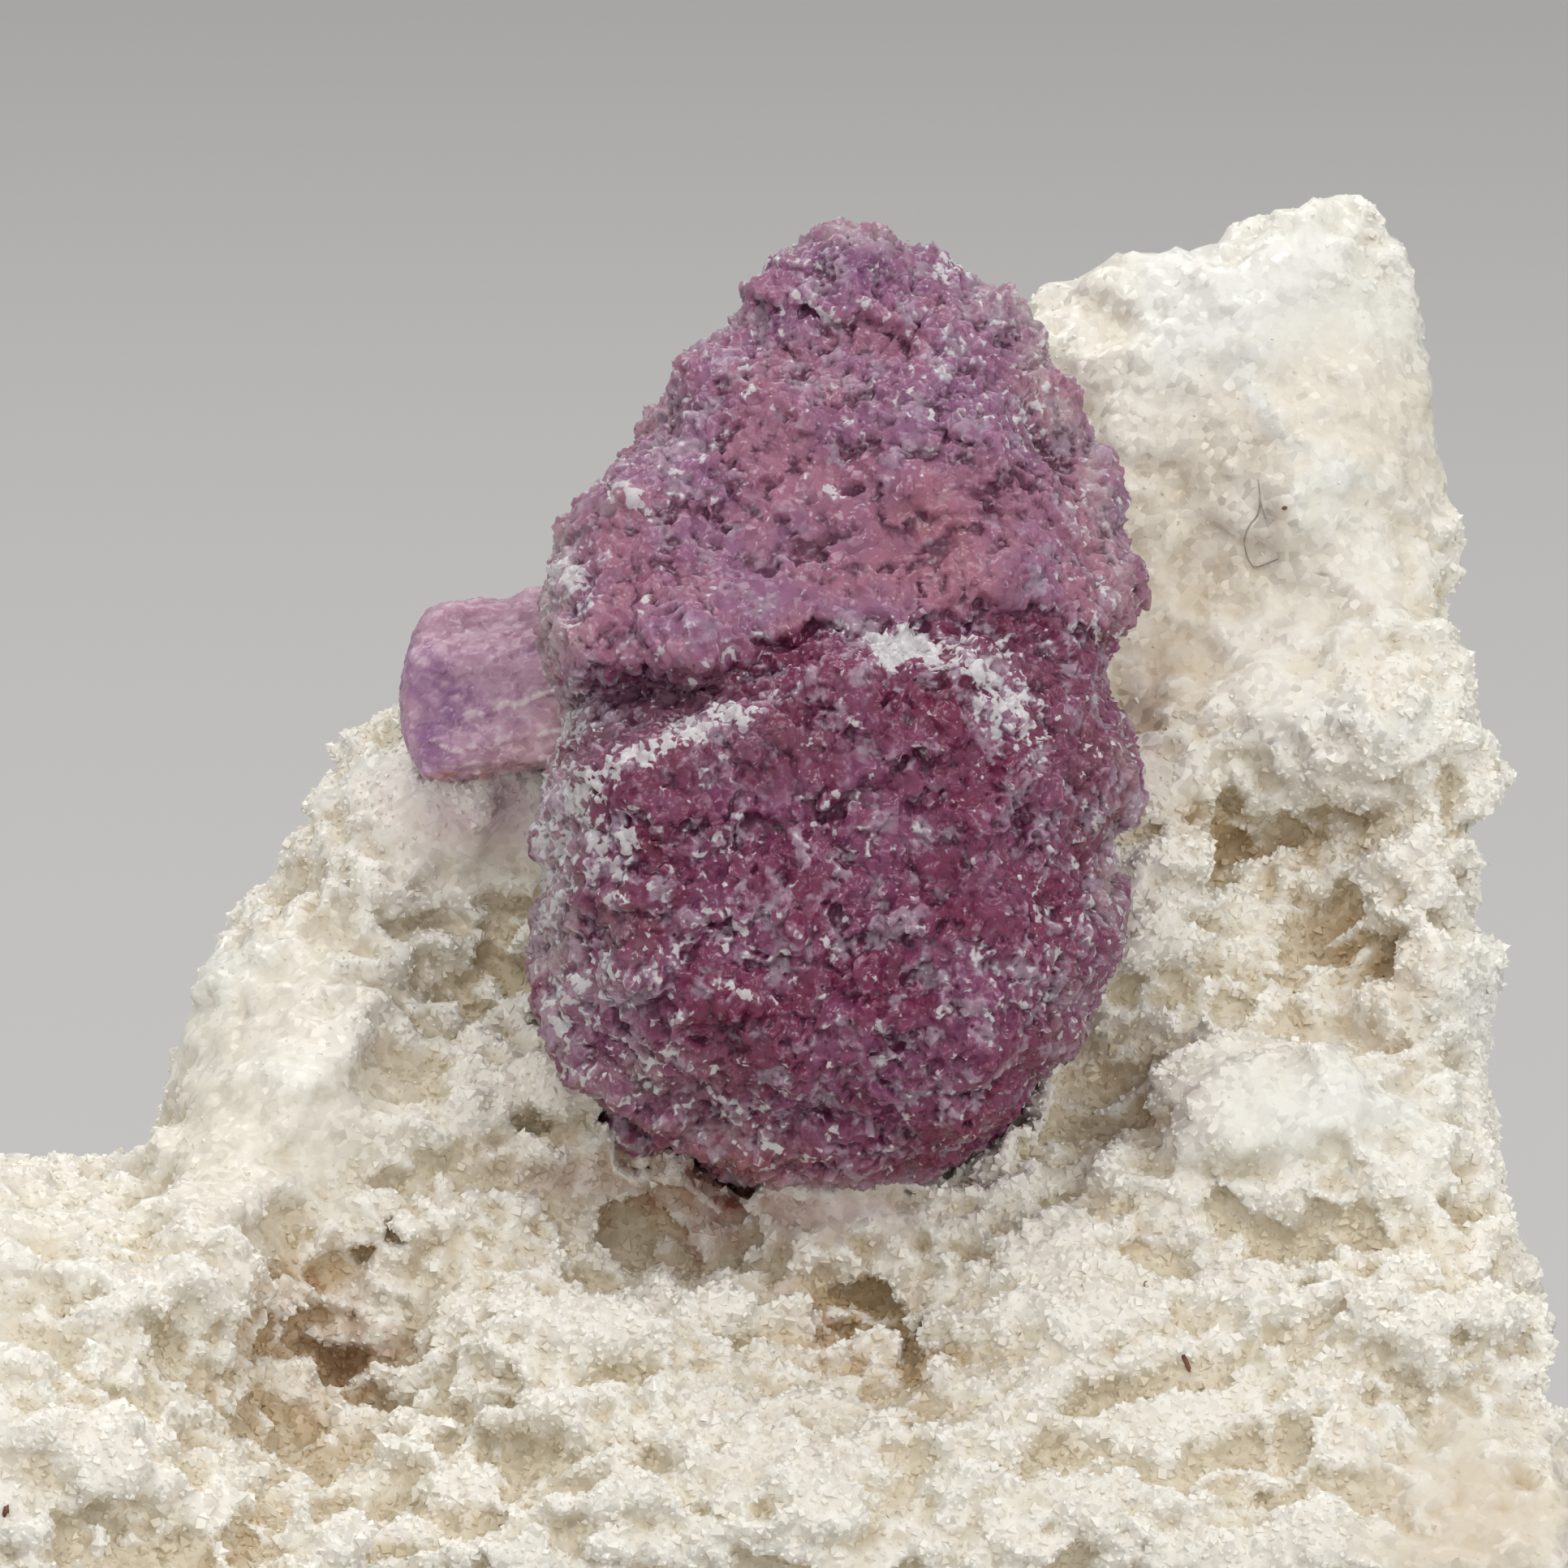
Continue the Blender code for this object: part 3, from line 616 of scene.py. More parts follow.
def rockSurface():
    # broken plates, sugary clumps and small faces, much calmer where the quartz is milky
    tree, start = geometryTree("rockSurface")
    place = viewPlace(start)
    rough = (1 - ownAttribute(start, "milky")) * (1 - 0.45 * ownAttribute(start, "back"))
    bent = warped(place, 2.0, 0.5)
    lying = bent.vector("MULTIPLY", rock["flatten"])
    wide, middle, narrow = rock["plates"]
    plates = (noiseOf(lying, 6.0, 5.0, 0.60, 1.0).ramp(0.475, 0.525) - 0.6) * wide
    plates = plates + (noiseOf(lying, 2.6, 4.0, 0.62, 4.0).ramp(0.465, 0.54) - 0.6) * middle
    plates = plates + (noiseOf(bent, 1.2, 3.0, 0.60, 7.0).ramp(0.44, 0.57) - 0.6) * narrow
    wide, narrow = rock["facets"]
    facets = facetsOf(bent, 0.8)[0] * wide + facetsOf(bent, 0.4, 3.0)[0] * narrow
    clumps = 1 - cellsOf(bent, 0.9) ** 2
    sugary = plates + (clumps - 0.7) * rock["clumps"] + facets
    layers = {
        "swell": noiseOf(place, 3.5, 2.0, 0.5, 5.0) - 0.5,
        "waves": noiseOf(lying, 1.6, 4.0, 0.6, 2.0) - 0.5,
        "plates": plates,
        "facets": facets,
        "crackle": noiseOf(lying, 0.7, 5.0, 0.7, 9.0).ramp(0.44, 0.58) - 0.5,
    }
    calm = sum(layer * rock["calm"][name] for name, layer in layers.items())
    finishTree(start, pushedOut(start, start, sugary * rough + calm * (1 - rough)))
    return tree


def unseen(mesh):
    # 1 on the back, below and in the pocket behind the crystals, 0 where the rock shows in front
    back = 1 - smoothStep(-0.55, -0.25, facing(mesh))
    crystals = solidTree("large_fluorite")
    camera = Vector(axes[2])
    for index, vertex in enumerate(mesh.vertices):
        if back[index] == 0:
            spot, normal, face, distance = crystals.find_nearest(vertex.co, rock["behind"])
            if spot is not None and normal.dot(camera) < -0.4:
                back[index] = 1
    return back


def makeRock():
    ground = pushedAlong(relaxed(remeshed(weldedCopy("quartz_matrix"), rock["startCell"]), 5), rock["pushes"])
    mesh = remeshed(ground.copy(), rock["reliefCell"])
    raised(mesh, rockRelief(*viewOf(mesh)) * smoothStep(0.0, 0.4, facing(mesh)))
    closeIn(mesh, ("large_fluorite", "small_fluorite"), rock["rim"])
    mesh = relaxed(remeshed(mesh, rock["cell"]), 1)
    setFields(mesh, {"milky": rockMask(mesh, "milky"), "back": 1 - smoothStep(-0.5, 0.0, facing(mesh))})
    mesh = remeshed(withTree(mesh, rockSurface()), rock["skinCell"])
    low, high = np.array(cadBounds)
    inner = low + np.array((1, 1, 0)) * rock["inset"], high - rock["inset"]
    setPoints(mesh, np.clip(getPoints(mesh), *inner))
    loose = 0.1 + 0.9 * np.maximum(0.6 * unseen(mesh), 0.25 * rockMask(mesh, "milky"))
    mesh = thinnedTo(mesh, rock["triangles"], loose)
    setPoints(mesh, np.clip(getPoints(mesh), *inner))
    u, v, w = viewOf(mesh)
    front = smoothStep(-0.3, 0.2, facing(mesh))
    milky, edge = rockMask(mesh, "milky"), heightOver(mesh, 6)
    sugar = 0.06 + 0.94 * smoothStep(0.2, 0.9, 1 - milky)
    sugar = sugar * (1 - 0.65 * unseen(mesh)) * (0.8 + 0.2 * smoothStep(-0.02, 0.05, edge))
    setFields(mesh, {
        "milky": milky,
        "brown": rockMask(mesh, "brown") * (0.4 + 0.6 * front),
        "iron": rockMask(mesh, "iron") * front,
        "snow": rockMask(mesh, "snow"),
        "lilac": np.clip(spotSum(u, v, rock["lilac"]), 0, 1) * front,
        "height": heightAbove(mesh, treeOf(ground)),
        "edge": edge,
        "hollow": -heightOver(mesh, 60),
        "sugar": sugar * smoothStep(*rock["grainFloor"], getPoints(mesh)[:, 2]),
    })
    mesh = withFields(mesh, {"mottle": (1.1, 2.0), "wide": (6.2, 1.0)}, {})
    mesh.shade_smooth()
    return mesh


def vertexAreas(mesh):
    areas = readAll(mesh.polygons, "area", kind=float)
    corners = readAll(mesh.loops, "vertex_index", kind=np.int32)
    return np.bincount(corners, weights=np.repeat(areas / 3, 3), minlength=len(mesh.vertices))


def makeGrains(rockMesh):
    # the sugar on the rock, in a few meshes one above the other, with about the same number of grains
    chips = makeChips()
    height = viewOf(rockMesh)[1]
    sugar = readAll(rockMesh.attributes["sugar"].data, "value")
    order = np.argsort(height)
    share = np.cumsum((sugar * vertexAreas(rockMesh))[order])
    part = np.empty(len(height), int)
    part[order] = np.minimum(share / share[-1] * rock["grainPieces"], rock["grainPieces"] - 1)
    pieces = []
    for number in range(rock["grainPieces"]):
        base = rockMesh.copy()
        setFields(base, {"sugar": sugar * (part == number)})
        grains = withTree(base, grainTree(chips, number))
        setPoints(grains, np.clip(getPoints(grains), *np.array(cadBounds)))
        pieces.append(grains)
    for chip in chips:
        bpy.data.objects.remove(chip)
    return pieces


def makeChips():
    # a few small angular grains to repeat, pointed and blocky ones
    random.seed(5)
    chips = []
    for number in range(6):
        bm = bmesh.new()
        if number < 4:
            for spot in ((1, 0, 0), (-1, 0, 0), (0, 1, 0), (0, -1, 0), (0, 0, 1), (0, 0, -1)):
                bm.verts.new(Vector(spot) * random.uniform(0.42, 0.66))
            bmesh.ops.convex_hull(bm, input=bm.verts)
        else:
            bmesh.ops.create_cube(bm, size=0.66)
        for vertex in bm.verts:
            vertex.co += Vector([random.uniform(-0.09, 0.09) for _ in range(3)])
        bmesh.ops.triangulate(bm, faces=bm.faces)
        bmesh.ops.recalc_face_normals(bm, faces=bm.faces)
        chips.append(makeObject(f"chip{number}", meshFrom(bm, "chip")))
    return chips


def grainTree(chips, seed):
    tree, start = geometryTree("sugarGrains")

    def chance(kind, sockets, draw, out=0):
        return start.node("FunctionNodeRandomValue", {"data_type": kind}, {**sockets, "Seed": draw}, out)

    gap = rock["grainGap"]
    scattered = start.node("GeometryNodeDistributePointsOnFaces", {"distribute_method": "POISSON"}, {
        "Mesh": start, "Distance Min": gap, "Density Max": 1 / (gap * gap * 0.75),
        "Density Factor": ownAttribute(start, "sugar"), "Seed": seed,
    })
    normal = scattered.other("Normal")
    variants = start.node("GeometryNodeJoinGeometry")
    for chip in chips:
        single = start.node("GeometryNodeObjectInfo", {}, {"Object": chip}, out=4)
        asInstance = start.node("GeometryNodeGeometryToInstance", {}, {0: single})
        tree.links.new(asInstance.socket, variants.socket.node.inputs[0])
    smallest, largest = rock["grainSizes"]
    luck = chance("FLOAT", {2: 0.0, 3: 1.0}, seed + 1, out=1)
    size = (luck * luck * (largest - smallest) + smallest) * (1 - 0.6 * ownAttribute(start, "milky"))
    down = normal.vector("SCALE", size * -rock["grainSink"])
    sized = stored(scattered, "grainSize", size)
    toned = stored(sized, "tone", chance("FLOAT", {2: 0.0, 3: 1.0}, seed + 7, out=1))
    placed = start.node("GeometryNodeInstanceOnPoints", {}, {
        "Points": start.node("GeometryNodeSetPosition", {}, {"Geometry": toned, "Offset": down}),
        "Instance": variants, "Pick Instance": True,
        "Instance Index": chance("INT", {4: 0, 5: len(chips) - 1}, seed, out=2),
        "Rotation": chance("FLOAT_VECTOR", {0: (0, 0, 0), 1: (6.28, 6.28, 6.28)}, seed),
        "Scale": ownAttribute(start, "grainSize"),
    })
    finishTree(start, start.node("GeometryNodeRealizeInstances", {}, {0: placed}))
    return tree


def quartzMaterial(name, grains):
    # grains have a tone of their own each, and the rock little flat faces
    made, start = shaderTree(name)
    names = ("height", "edge", "hollow", "mottle", "wide", "milky", "snow", "brown", "iron", "lilac", "tone")
    part, colours = attributes(start, *names), rock["colours"]
    mottle, wide, edge = part.mottle, part.wide, part.edge
    sugar = (1 - part.milky).ramp(0.1, 0.8)
    if grains:
        tone = part.tone
        bump = {}
    else:
        rise, tone = facetsOf(objectPlace(start), rock["flatFaces"])
        bump = {"Normal": bumped(start, 0.55, rise * (0.5 + sugar * 0.5))}
    # painted shade: the sand colour in hollows and low places, lifted on raised edges, with random mottling
    low = part.hollow * 1.5 - part.height * 0.42 - edge * 2.0 + (mottle - 0.5) * 0.8 + (wide - 0.5) * 1.2
    low = (low + (tone - 0.5) * 0.25 * (0.15 + sugar * 0.85)).ramp(-0.25, 0.8)
    # the brown stain deepened as painted shade where the low colour is
    brown = part.brown * (0.40 + 0.7 * low) + (mottle - 0.55) * 0.3 * part.brown
    # painted highlight: white on raised edges, with the random tone of each grain or small face
    white = (edge * 4.0 + tone * sugar * 0.35).ramp(0.25, 0.7) * (0.35 + sugar * 0.35)
    colour = layered(start, paint(*colours["raised"]), colours, {"low": low})
    clouds = {"milky": (wide * 0.6 + mottle * 0.4).ramp(0.38, 0.62)}
    patches = layered(start, paint(*colours["milkyDim"]), colours, clouds)
    colour = layered(start, mixed(start, part.milky * 0.7, colour, patches), colours, {
        # painted highlight
        "snow": part.snow * 0.7,
        "brown": brown,
        "iron": part.iron * mottle.ramp(0.40, 0.60, 0.4, 1.0),
        "lilac": part.lilac,
        "white": white,
    })
    roughness = tone.ramp(0.0, 1.0, 0.30, 0.55)
    finishMaterial(start, {"Base Color": colour, "Roughness": roughness, "IOR": 1.54, **bump})
    return made


# the large fluorite
crystal = {
    "startCell": 0.0003,
    "reliefCell": 0.00015,
    "cell": 0.00009,
    "triangles": 190000,
    "evening": 40,
    "levels": 9.0,           # wide growth steps, and how high they stand in mm over their whole range
    "steps": 1.7,
    "littleLevels": 6.0,
    "little": 0.55,
    "facets": (0.14, 0.24),  # slope of the small crystal faces, wide and narrow
    "crumbs": 0.12,
    "fine": 0.16,
    "flakes": {"count": 4, "apart": 0.62, "thick": 0.16},
    # the ridge's painted highlight: its width in mm and its strength
    "ridgeWidth": 0.34,
    "ridgeFrostGlint": 1.6,
    "flatFaces": 0.00024,
    "mottleScale": 1100.0,
    "glintFleckScale": 2400.0,
    "colours": {
        "deep": (132, 56, 88), "deepCloud": (146, 82, 120), "rosy": (180, 124, 147), "rosyCloud": (162, 114, 150),
        "cap": (144, 96, 142), "red": (176, 100, 104), "ash": (150, 116, 130), "pale": (206, 190, 192),
        "dark": (88, 36, 66), "grey": (192, 168, 188), "white": (234, 229, 234), "inside": (206, 150, 196),
    },
    # calm growth plates: (u, v, half width, half height, strength)
    "calm": [
        (1.6, 7.2, 3.4, 2.2, 1.0), (4.4, 5.8, 2.4, 1.4, 0.9), (-1.6, 5.6, 1.6, 1.6, 0.7),
        (-0.6, -0.2, 1.6, 0.8, 0.6), (2.6, 0.4, 1.8, 0.9, 0.7), (4.6, -2.5, 1.8, 2.0, 0.5),
        (-3.6, 4.1, 1.5, 0.8, 0.7), (0.6, 4.9, 1.7, 0.7, 0.8), (3.8, 4.9, 1.8, 0.6, 0.8),
    ],
    # growth steps: (line of u, v points; rise above it; how far up it fades)
    "ledges": [
        ([(-7.0, 2.0), (-5.6, 2.4), (-4.3, 3.3), (-2.9, 2.9), (-2.2, 2.8), (-0.9, 3.4), (0.7, 4.1),
          (2.1, 4.0), (3.4, 4.1), (5.9, 4.7), (8.5, 3.7), (9.5, 3.7)], 0.30, 1.6),
        ([(-1.2, 12.5), (-0.4, 12.25), (1.1, 11.95), (3.0, 11.6), (3.8, 11.25)], 0.40, 1.0),
        ([(-3.9, -0.6), (-2.6, -1.0), (-1.4, -1.15), (-0.4, -0.8), (0.7, -0.7), (1.9, 0.1), (3.0, 0.55),
          (4.2, 0.95)], 0.45, 1.0),
        ([(1.2, -3.2), (2.6, -3.9), (4.2, -3.4), (5.6, -3.9)], 0.25, 1.0),
        ([(-3.4, -3.0), (-2.2, -3.5), (-0.6, -3.2), (0.4, -3.8)], 0.22, 1.0),
        ([(-4.6, 7.4), (-3.0, 6.9), (-1.4, 7.3), (0.2, 6.6)], 0.2, 1.0),
        ([(1.6, 9.0), (3.2, 8.5), (4.8, 8.8)], 0.2, 1.0),
    ],
    # dents, which the colour also darkens as painted shade: (u, v, half width, half height, depth)
    "dents": [
        (5.6, 7.5, 1.1, 0.8, 0.55), (7.0, 8.3, 0.6, 0.7, 0.35), (-4.9, -3.6, 0.55, 0.6, 0.6),
        (-3.3, -5.5, 0.5, 0.5, 0.5), (-1.1, -6.3, 0.9, 0.55, 0.65), (0.9, -8.3, 0.7, 0.4, 0.4),
        (2.8, -6.6, 0.6, 0.5, 0.35), (6.0, -1.2, 0.5, 0.9, 0.35), (-2.0, 8.6, 0.5, 0.4, 0.3),
        (6.6, 2.6, 0.6, 0.5, 0.4),
    ],
    "overhang": [
        (-7.0, 2.2), (-4.6, 3.0), (-2.2, 2.8), (-0.8, 3.4), (0.7, 4.1), (3.4, 4.1), (5.9, 4.4), (9.5, 3.7),
    ],
    # the white line under the overhang, a painted highlight where the frosted ridge catches the light
    "ridge": [(-5.6, -0.5), (-4.6, 0.2), (-3.7, 0.75), (-2.6, 1.3), (-1.6, 1.65), (-0.7, 1.8)],
    # frosted patches, and painted highlight where the ridges catch the light: (u, v, half width, half height,
    # strength)
    "frost": [
        (2.6, 3.55, 0.55, 0.45, 1.9), (3.5, 3.5, 0.8, 0.5, 1.7), (4.9, 3.0, 0.8, 0.6, 1.2),
        (5.6, 2.0, 0.7, 0.8, 1.1), (6.3, 1.2, 0.6, 0.7, 0.8), (-5.6, 5.3, 0.5, 0.7, 1.3),
        (-5.0, 4.6, 0.3, 0.7, 0.8), (-5.9, -1.6, 0.5, 3.2, 0.9), (-5.4, 1.4, 0.7, 0.4, 1.0),
        (-4.6, -1.2, 1.0, 0.7, 0.8), (-4.2, -2.4, 1.0, 1.0, 0.5), (6.4, 9.6, 0.5, 1.2, 0.9),
        (7.4, 7.0, 0.4, 1.6, 0.8), (8.0, 4.4, 0.5, 0.7, 0.9), (4.4, 13.2, 0.9, 0.3, 0.8),
        (0.4, 13.4, 1.0, 0.5, 0.5), (-1.1, 10.2, 0.3, 0.2, 1.2), (1.0, 7.6, 0.45, 0.35, 1.3),
        (0.4, 7.9, 0.25, 0.2, 0.9), (1.2, 11.9, 0.6, 0.12, 1.1), (-1.9, 8.5, 0.3, 0.2, 0.9),
        (3.4, 7.7, 0.35, 0.12, 1.1), (-2.0, 5.2, 0.3, 0.35, 1.1), (-3.5, 4.8, 0.35, 0.2, 0.9),
        (3.0, 9.9, 0.3, 0.2, 0.9), (4.0, 10.4, 0.4, 0.2, 0.9), (-3.6, 6.9, 0.4, 0.4, 0.7),
        (0.2, 9.2, 0.3, 0.15, 0.8), (7.9, -2.0, 0.7, 2.6, 0.6), (6.4, -2.6, 0.5, 0.7, 0.8),
        (6.6, -5.0, 0.8, 1.4, 0.5), (-3.4, -7.0, 1.4, 0.45, 0.55), (-1.6, -8.4, 1.2, 0.45, 0.55),
        (-3.2, -4.4, 1.6, 1.4, 0.3), (-5.2, -5.4, 0.6, 0.8, 0.7), (-1.2, -5.2, 0.9, 0.25, 0.7),
        (1.3, -4.1, 0.22, 0.22, 1.2), (2.6, -6.2, 0.5, 0.12, 0.9), (3.7, -1.2, 0.4, 0.2, 0.8),
        (-1.3, -1.6, 0.5, 0.3, 0.8), (4.6, -4.2, 0.4, 0.4, 0.6), (0.4, -9.4, 1.6, 0.3, 0.5),
    ],
    # painted shadow, grey, mostly where the overhang shades the lower crystal
    "ash": [  # the grey band above the ridge
        (-4.4, 1.7, 1.7, 0.8, 1.0), (-2.2, 2.4, 1.2, 0.5, 0.8), (-5.6, -0.6, 0.7, 1.8, 0.7),
        (5.4, 3.0, 1.6, 0.8, 0.5), (7.6, 0.6, 0.9, 2.0, 0.5), (-1.0, 1.0, 2.0, 1.0, 0.4),
        (-3.6, -8.0, 2.2, 0.9, 0.4),
    ],
    "cap": [(1.6, 13.2, 2.4, 1.2, 1.0), (3.2, 9.4, 2.6, 1.2, 0.4)],
    "red": [(-1.5, -10.0, 2.8, 0.8, 0.9), (3.0, 6.4, 2.6, 1.6, 0.35), (6.7, 11.6, 0.3, 0.5, 0.8)],
    # paler along the outline: painted rim light, with pale thin flakes along the lower edge
    "pale": [
        (-6.1, 4.2, 0.8, 1.6, 0.9), (-6.1, -2.4, 0.9, 3.8, 1.0), (0.6, -10.4, 3.4, 0.5, 0.6),
        (5.6, 12.6, 1.1, 0.8, 0.9), (6.5, 11.2, 0.5, 1.2, 0.9), (-5.8, 2.0, 0.7, 0.7, 0.7),
        (8.8, -1.0, 0.5, 2.6, 0.5), (7.1, 9.6, 0.5, 1.2, 0.8), (8.0, 7.6, 0.45, 1.6, 0.8),
        (8.5, 5.2, 0.4, 1.0, 0.6), (-1.6, 12.0, 0.6, 0.9, 0.6), (-3.2, 9.3, 0.6, 1.1, 0.5),
        (-4.6, 7.7, 0.6, 0.9, 0.5), (-5.6, 5.9, 0.5, 0.7, 0.8), (1.8, 14.1, 2.0, 0.4, 0.7),
        (-3.6, -7.4, 1.6, 0.8, 0.55), (-1.4, -8.9, 1.6, 0.5, 0.5), (-4.6, -4.6, 1.2, 1.6, 0.35),
        (8.2, -2.6, 0.5, 1.4, 0.6), (7.4, -6.2, 0.6, 1.4, 0.5),
    ],
    "pushes": [
        (-3.7, 9.4, 1.5, 1.8, 0.34, -0.28, 0.0), (-5.6, 6.5, 1.0, 1.0, 0.26, -0.20, 0.0),
        (-1.8, 12.0, 1.0, 1.0, 0.16, -0.14, 0.0), (2.5, 14.4, 0.8, 0.6, 0.0, -0.22, 0.0),
        (5.1, 13.1, 1.0, 0.8, 0.10, 0.15, 0.0),
    ],
}


def terraced(noise, levels, rise):
    # the noise in flat steps, with a short rise from each to the next
    scaled = noise * levels
    return (scaled.maths("FLOOR", scaled) + scaled.maths("FRACT", scaled).ramp(0.0, rise)) / levels - 0.5


def crystalSurface():
    tree, start = geometryTree("crystalSurface")
    place = viewPlace(start)
    bent = warped(place, 1.2, 0.35)
    steps = terraced(noiseOf(bent, 3.2, 6.0, 0.6, 1.0), crystal["levels"], 0.22)
    little = terraced(noiseOf(bent, 1.0, 5.0, 0.62, 3.0), crystal["littleLevels"], 0.3)
    wide, narrow = crystal["facets"]
    facets = facetsOf(bent, 0.75, 1.0)[0] * wide + facetsOf(bent, 0.36, 5.0)[0] * narrow
    crumbs = (0.45 - cellsOf(warped(place, 0.4, 0.12), 0.42)) * crystal["crumbs"]
    fine = (noiseOf(place, 0.22, 2.0, 0.6, 8.0) - 0.5) * crystal["fine"]
    crumbly = 1 - 0.7 * ownAttribute(start, "calm")
    distance = steps * crystal["steps"] + (little * crystal["little"] + crumbs + facets + fine) * crumbly
    finishTree(start, pushedOut(start, start, distance))
    return tree


def stepWave(u, v):
    return 0.16 * np.sin(u * 4.3 + v) + 0.10 * np.sin(u * 9.1 + 1.7) + 0.06 * np.sin(u * 17.0)


def flakePlace(u, v):
    # how far in from the lower left edge, and how surely it is there
    along = (u + 6.3) * 0.816 - (v + 5.9) * 0.578
    inward = (u + 6.3) * 0.578 + (v + 5.9) * 0.816 - 0.35
    inward = inward + 0.14 * np.sin(along * 2.1) + 0.06 * np.sin(along * 6.7)
    return inward, between(-0.8, 0.6, 6.8, 8.2, along)


def crystalRelief(u, v):
    # the steps and dents seen in front, and thin plates laid one on another along the lower left edge, in mm
    relief = stepSum(u, v, crystal["ledges"], stepWave(u, v)) - spotSum(u, v, crystal["dents"])
    inward, window = flakePlace(u, v)
    count, apart, thick = crystal["flakes"].values()
    plates = sum(smoothStep(k * apart - 0.07, k * apart + 0.07, inward) for k in range(count))
    return relief + window * thick * (plates - count) * (inward > -1.5)


def ledgeLines(u, v, offset, width):
    # narrow lines that run along the growth steps
    total = 0
    for line, rise, fade in crystal["ledges"]:
        total = total + alongLine(line, 0.2, 0.4, u) * hump(v - lineAt(u, line) - stepWave(u, v) - offset, width)
    return total


def crystalMasks(u, v):
    bent = (
        u + 0.16 * np.sin(v * 4.7 + 0.6) + 0.10 * np.sin(v * 11.0),
        v + 0.14 * np.sin(u * 5.3) + 0.08 * np.sin(u * 12.0 + 1),
    )
    ridge = hump(bent[1] - lineAt(bent[0], crystal["ridge"]), crystal["ridgeWidth"])
    ridge = ridge * between(-5.9, -5.3, -1.2, -0.4, u)
    inward, window = flakePlace(u, v)
    flakes = crystal["flakes"]
    flakeRims = window * sum(hump(inward - k * flakes["apart"], 0.09) for k in range(flakes["count"]))
    dentShade = [(*dent[:4], 1.6 * dent[4]) for dent in crystal["dents"]]
    masks = {
        "upper": smoothStep(-0.2, 0.2, v - lineAt(u, crystal["overhang"])),
        "frost": spotSum(*bent, crystal["frost"]) + crystal["ridgeFrostGlint"] * ridge,
        "ash": spotSum(*bent, crystal["ash"]),
        # painted highlight along the step edges and flake rims
        "rim": ledgeLines(u, v, 0.05, 0.08) + flakeRims,
        "shade": ledgeLines(u, v, -0.14, 0.13),
        # painted shade in the dents
        "dark": spotSum(u, v, dentShade),
        **{name: spotSum(u, v, crystal[name]) for name in ("calm", "cap", "pale", "red")},
    }
    return {name: np.clip(values, 0, 2 if name == "frost" else 1) for name, values in masks.items()}


def makeCrystal():
    mesh = evened(remeshed(weldedCopy("large_fluorite"), crystal["startCell"]), crystal["evening"])
    mesh = remeshed(pushedAlong(relaxed(mesh, 2), crystal["pushes"]), crystal["reliefCell"])
    u, v, w = viewOf(mesh)
    raised(mesh, crystalRelief(u, v) * smoothStep(0.25, 0.65, facing(mesh)))
    mesh = remeshed(mesh, crystal["cell"])
    u, v, w = viewOf(mesh)
    setFields(mesh, {"calm": np.clip(spotSum(u, v, crystal["calm"]), 0, 1)})
    mesh = withTree(mesh, crystalSurface())
    print("crystal shaped", triangleCount(mesh), "triangles before it is thinned")
    mesh = thinnedTo(mesh, crystal["triangles"], 1 - 0.9 * smoothStep(-0.6, 0.0, facing(mesh)))
    u, v, w = viewOf(mesh)
    setFields(mesh, crystalMasks(u, v))
    setFields(mesh, {"edge": np.minimum(heightOver(mesh, 4), 0.05), "hollow": -heightOver(mesh, 40)})
    mesh = withFields(mesh, {"clouds": (3.0, 4.0)}, {"wideTone": 0.5})
    mesh.shade_smooth()
    return mesh


def fluoriteMaterial():
    made, start = shaderTree("purpleFluorite")
    names = ("edge", "hollow", "upper", "frost", "cap", "pale", "red", "dark", "ash", "calm", "rim", "shade")
    part, colours = attributes(start, *names, "clouds", "wideTone"), crystal["colours"]
    clouds, wideTone = part.clouds, part.wideTone
    place = objectPlace(start)
    mottle = noiseAt(place, crystal["mottleScale"], 3.0, 0.7)
    # painted glints
    glintFlecks = noiseAt(place, crystal["glintFleckScale"], 2.0, 0.65)
    rise, tone = facetsOf(place, crystal["flatFaces"], 0.01)
    cloudy = clouds.ramp(0.38, 0.62)
    deep = layered(start, paint(*colours["deep"]), colours, {"deepCloud": cloudy})
    rosy = layered(start, paint(*colours["rosy"]), colours, {"rosyCloud": cloudy})
    patches = (clouds - 0.5) * 0.5 - part.calm * 0.12
    # painted shade in hollows, in the dents and under the growth steps, with random mottling
    shadeAndMottle = part.hollow * 1.6 + part.dark * 0.25 + part.shade * 0.16 + mottle - 0.5 + (wideTone - 0.5) * 0.16
    # grey frosted patches, and painted sheen on raised edges
    grey = mottle + part.frost * 0.12 + part.edge * 1.4 + (wideTone - 0.5) * 0.24 + (tone - 0.5) * 0.14 + patches
    # painted glints and highlights on flecks, raised edges, step rims and small faces, over the frost
    white = glintFlecks * 0.7 + part.frost * 0.20 + part.edge * 1.8 + tone * 0.26 - part.dark * 0.1 + part.rim * 0.10
    colour = layered(start, mixed(start, part.upper, deep, rosy), colours, {
        "cap": part.cap * 0.8,
        "red": part.red * 0.7,
        # painted shadow under the overhang
        "ash": part.ash * 0.7,
        # painted rim light, with pale flakes
        "pale": part.pale * mottle.ramp(0.3, 0.6),
        "dark": shadeAndMottle.ramp(0.03, 0.24) * 0.8,
        "grey": grey.ramp(0.50, 0.70) * 0.72,
        "white": (white + patches * 0.6).ramp(0.64, 0.72),
    })
    inside = start.node("ShaderNodeVolumeAbsorption", {}, {"Color": paint(*colours["inside"]), "Density": 260.0})
    finishMaterial(start, {
        "Base Color": colour, "Roughness": wideTone.ramp(0.0, 1.0, 0.10, 0.30), "IOR": 1.434,
        "Normal": bumped(start, 0.6, rise), "Transmission Weight": 0.25,
        "Subsurface Weight": 0.35, "Subsurface Scale": 0.0009, "Subsurface Radius": (1.0, 0.5, 0.75),
    }, Volume=inside)
    return made


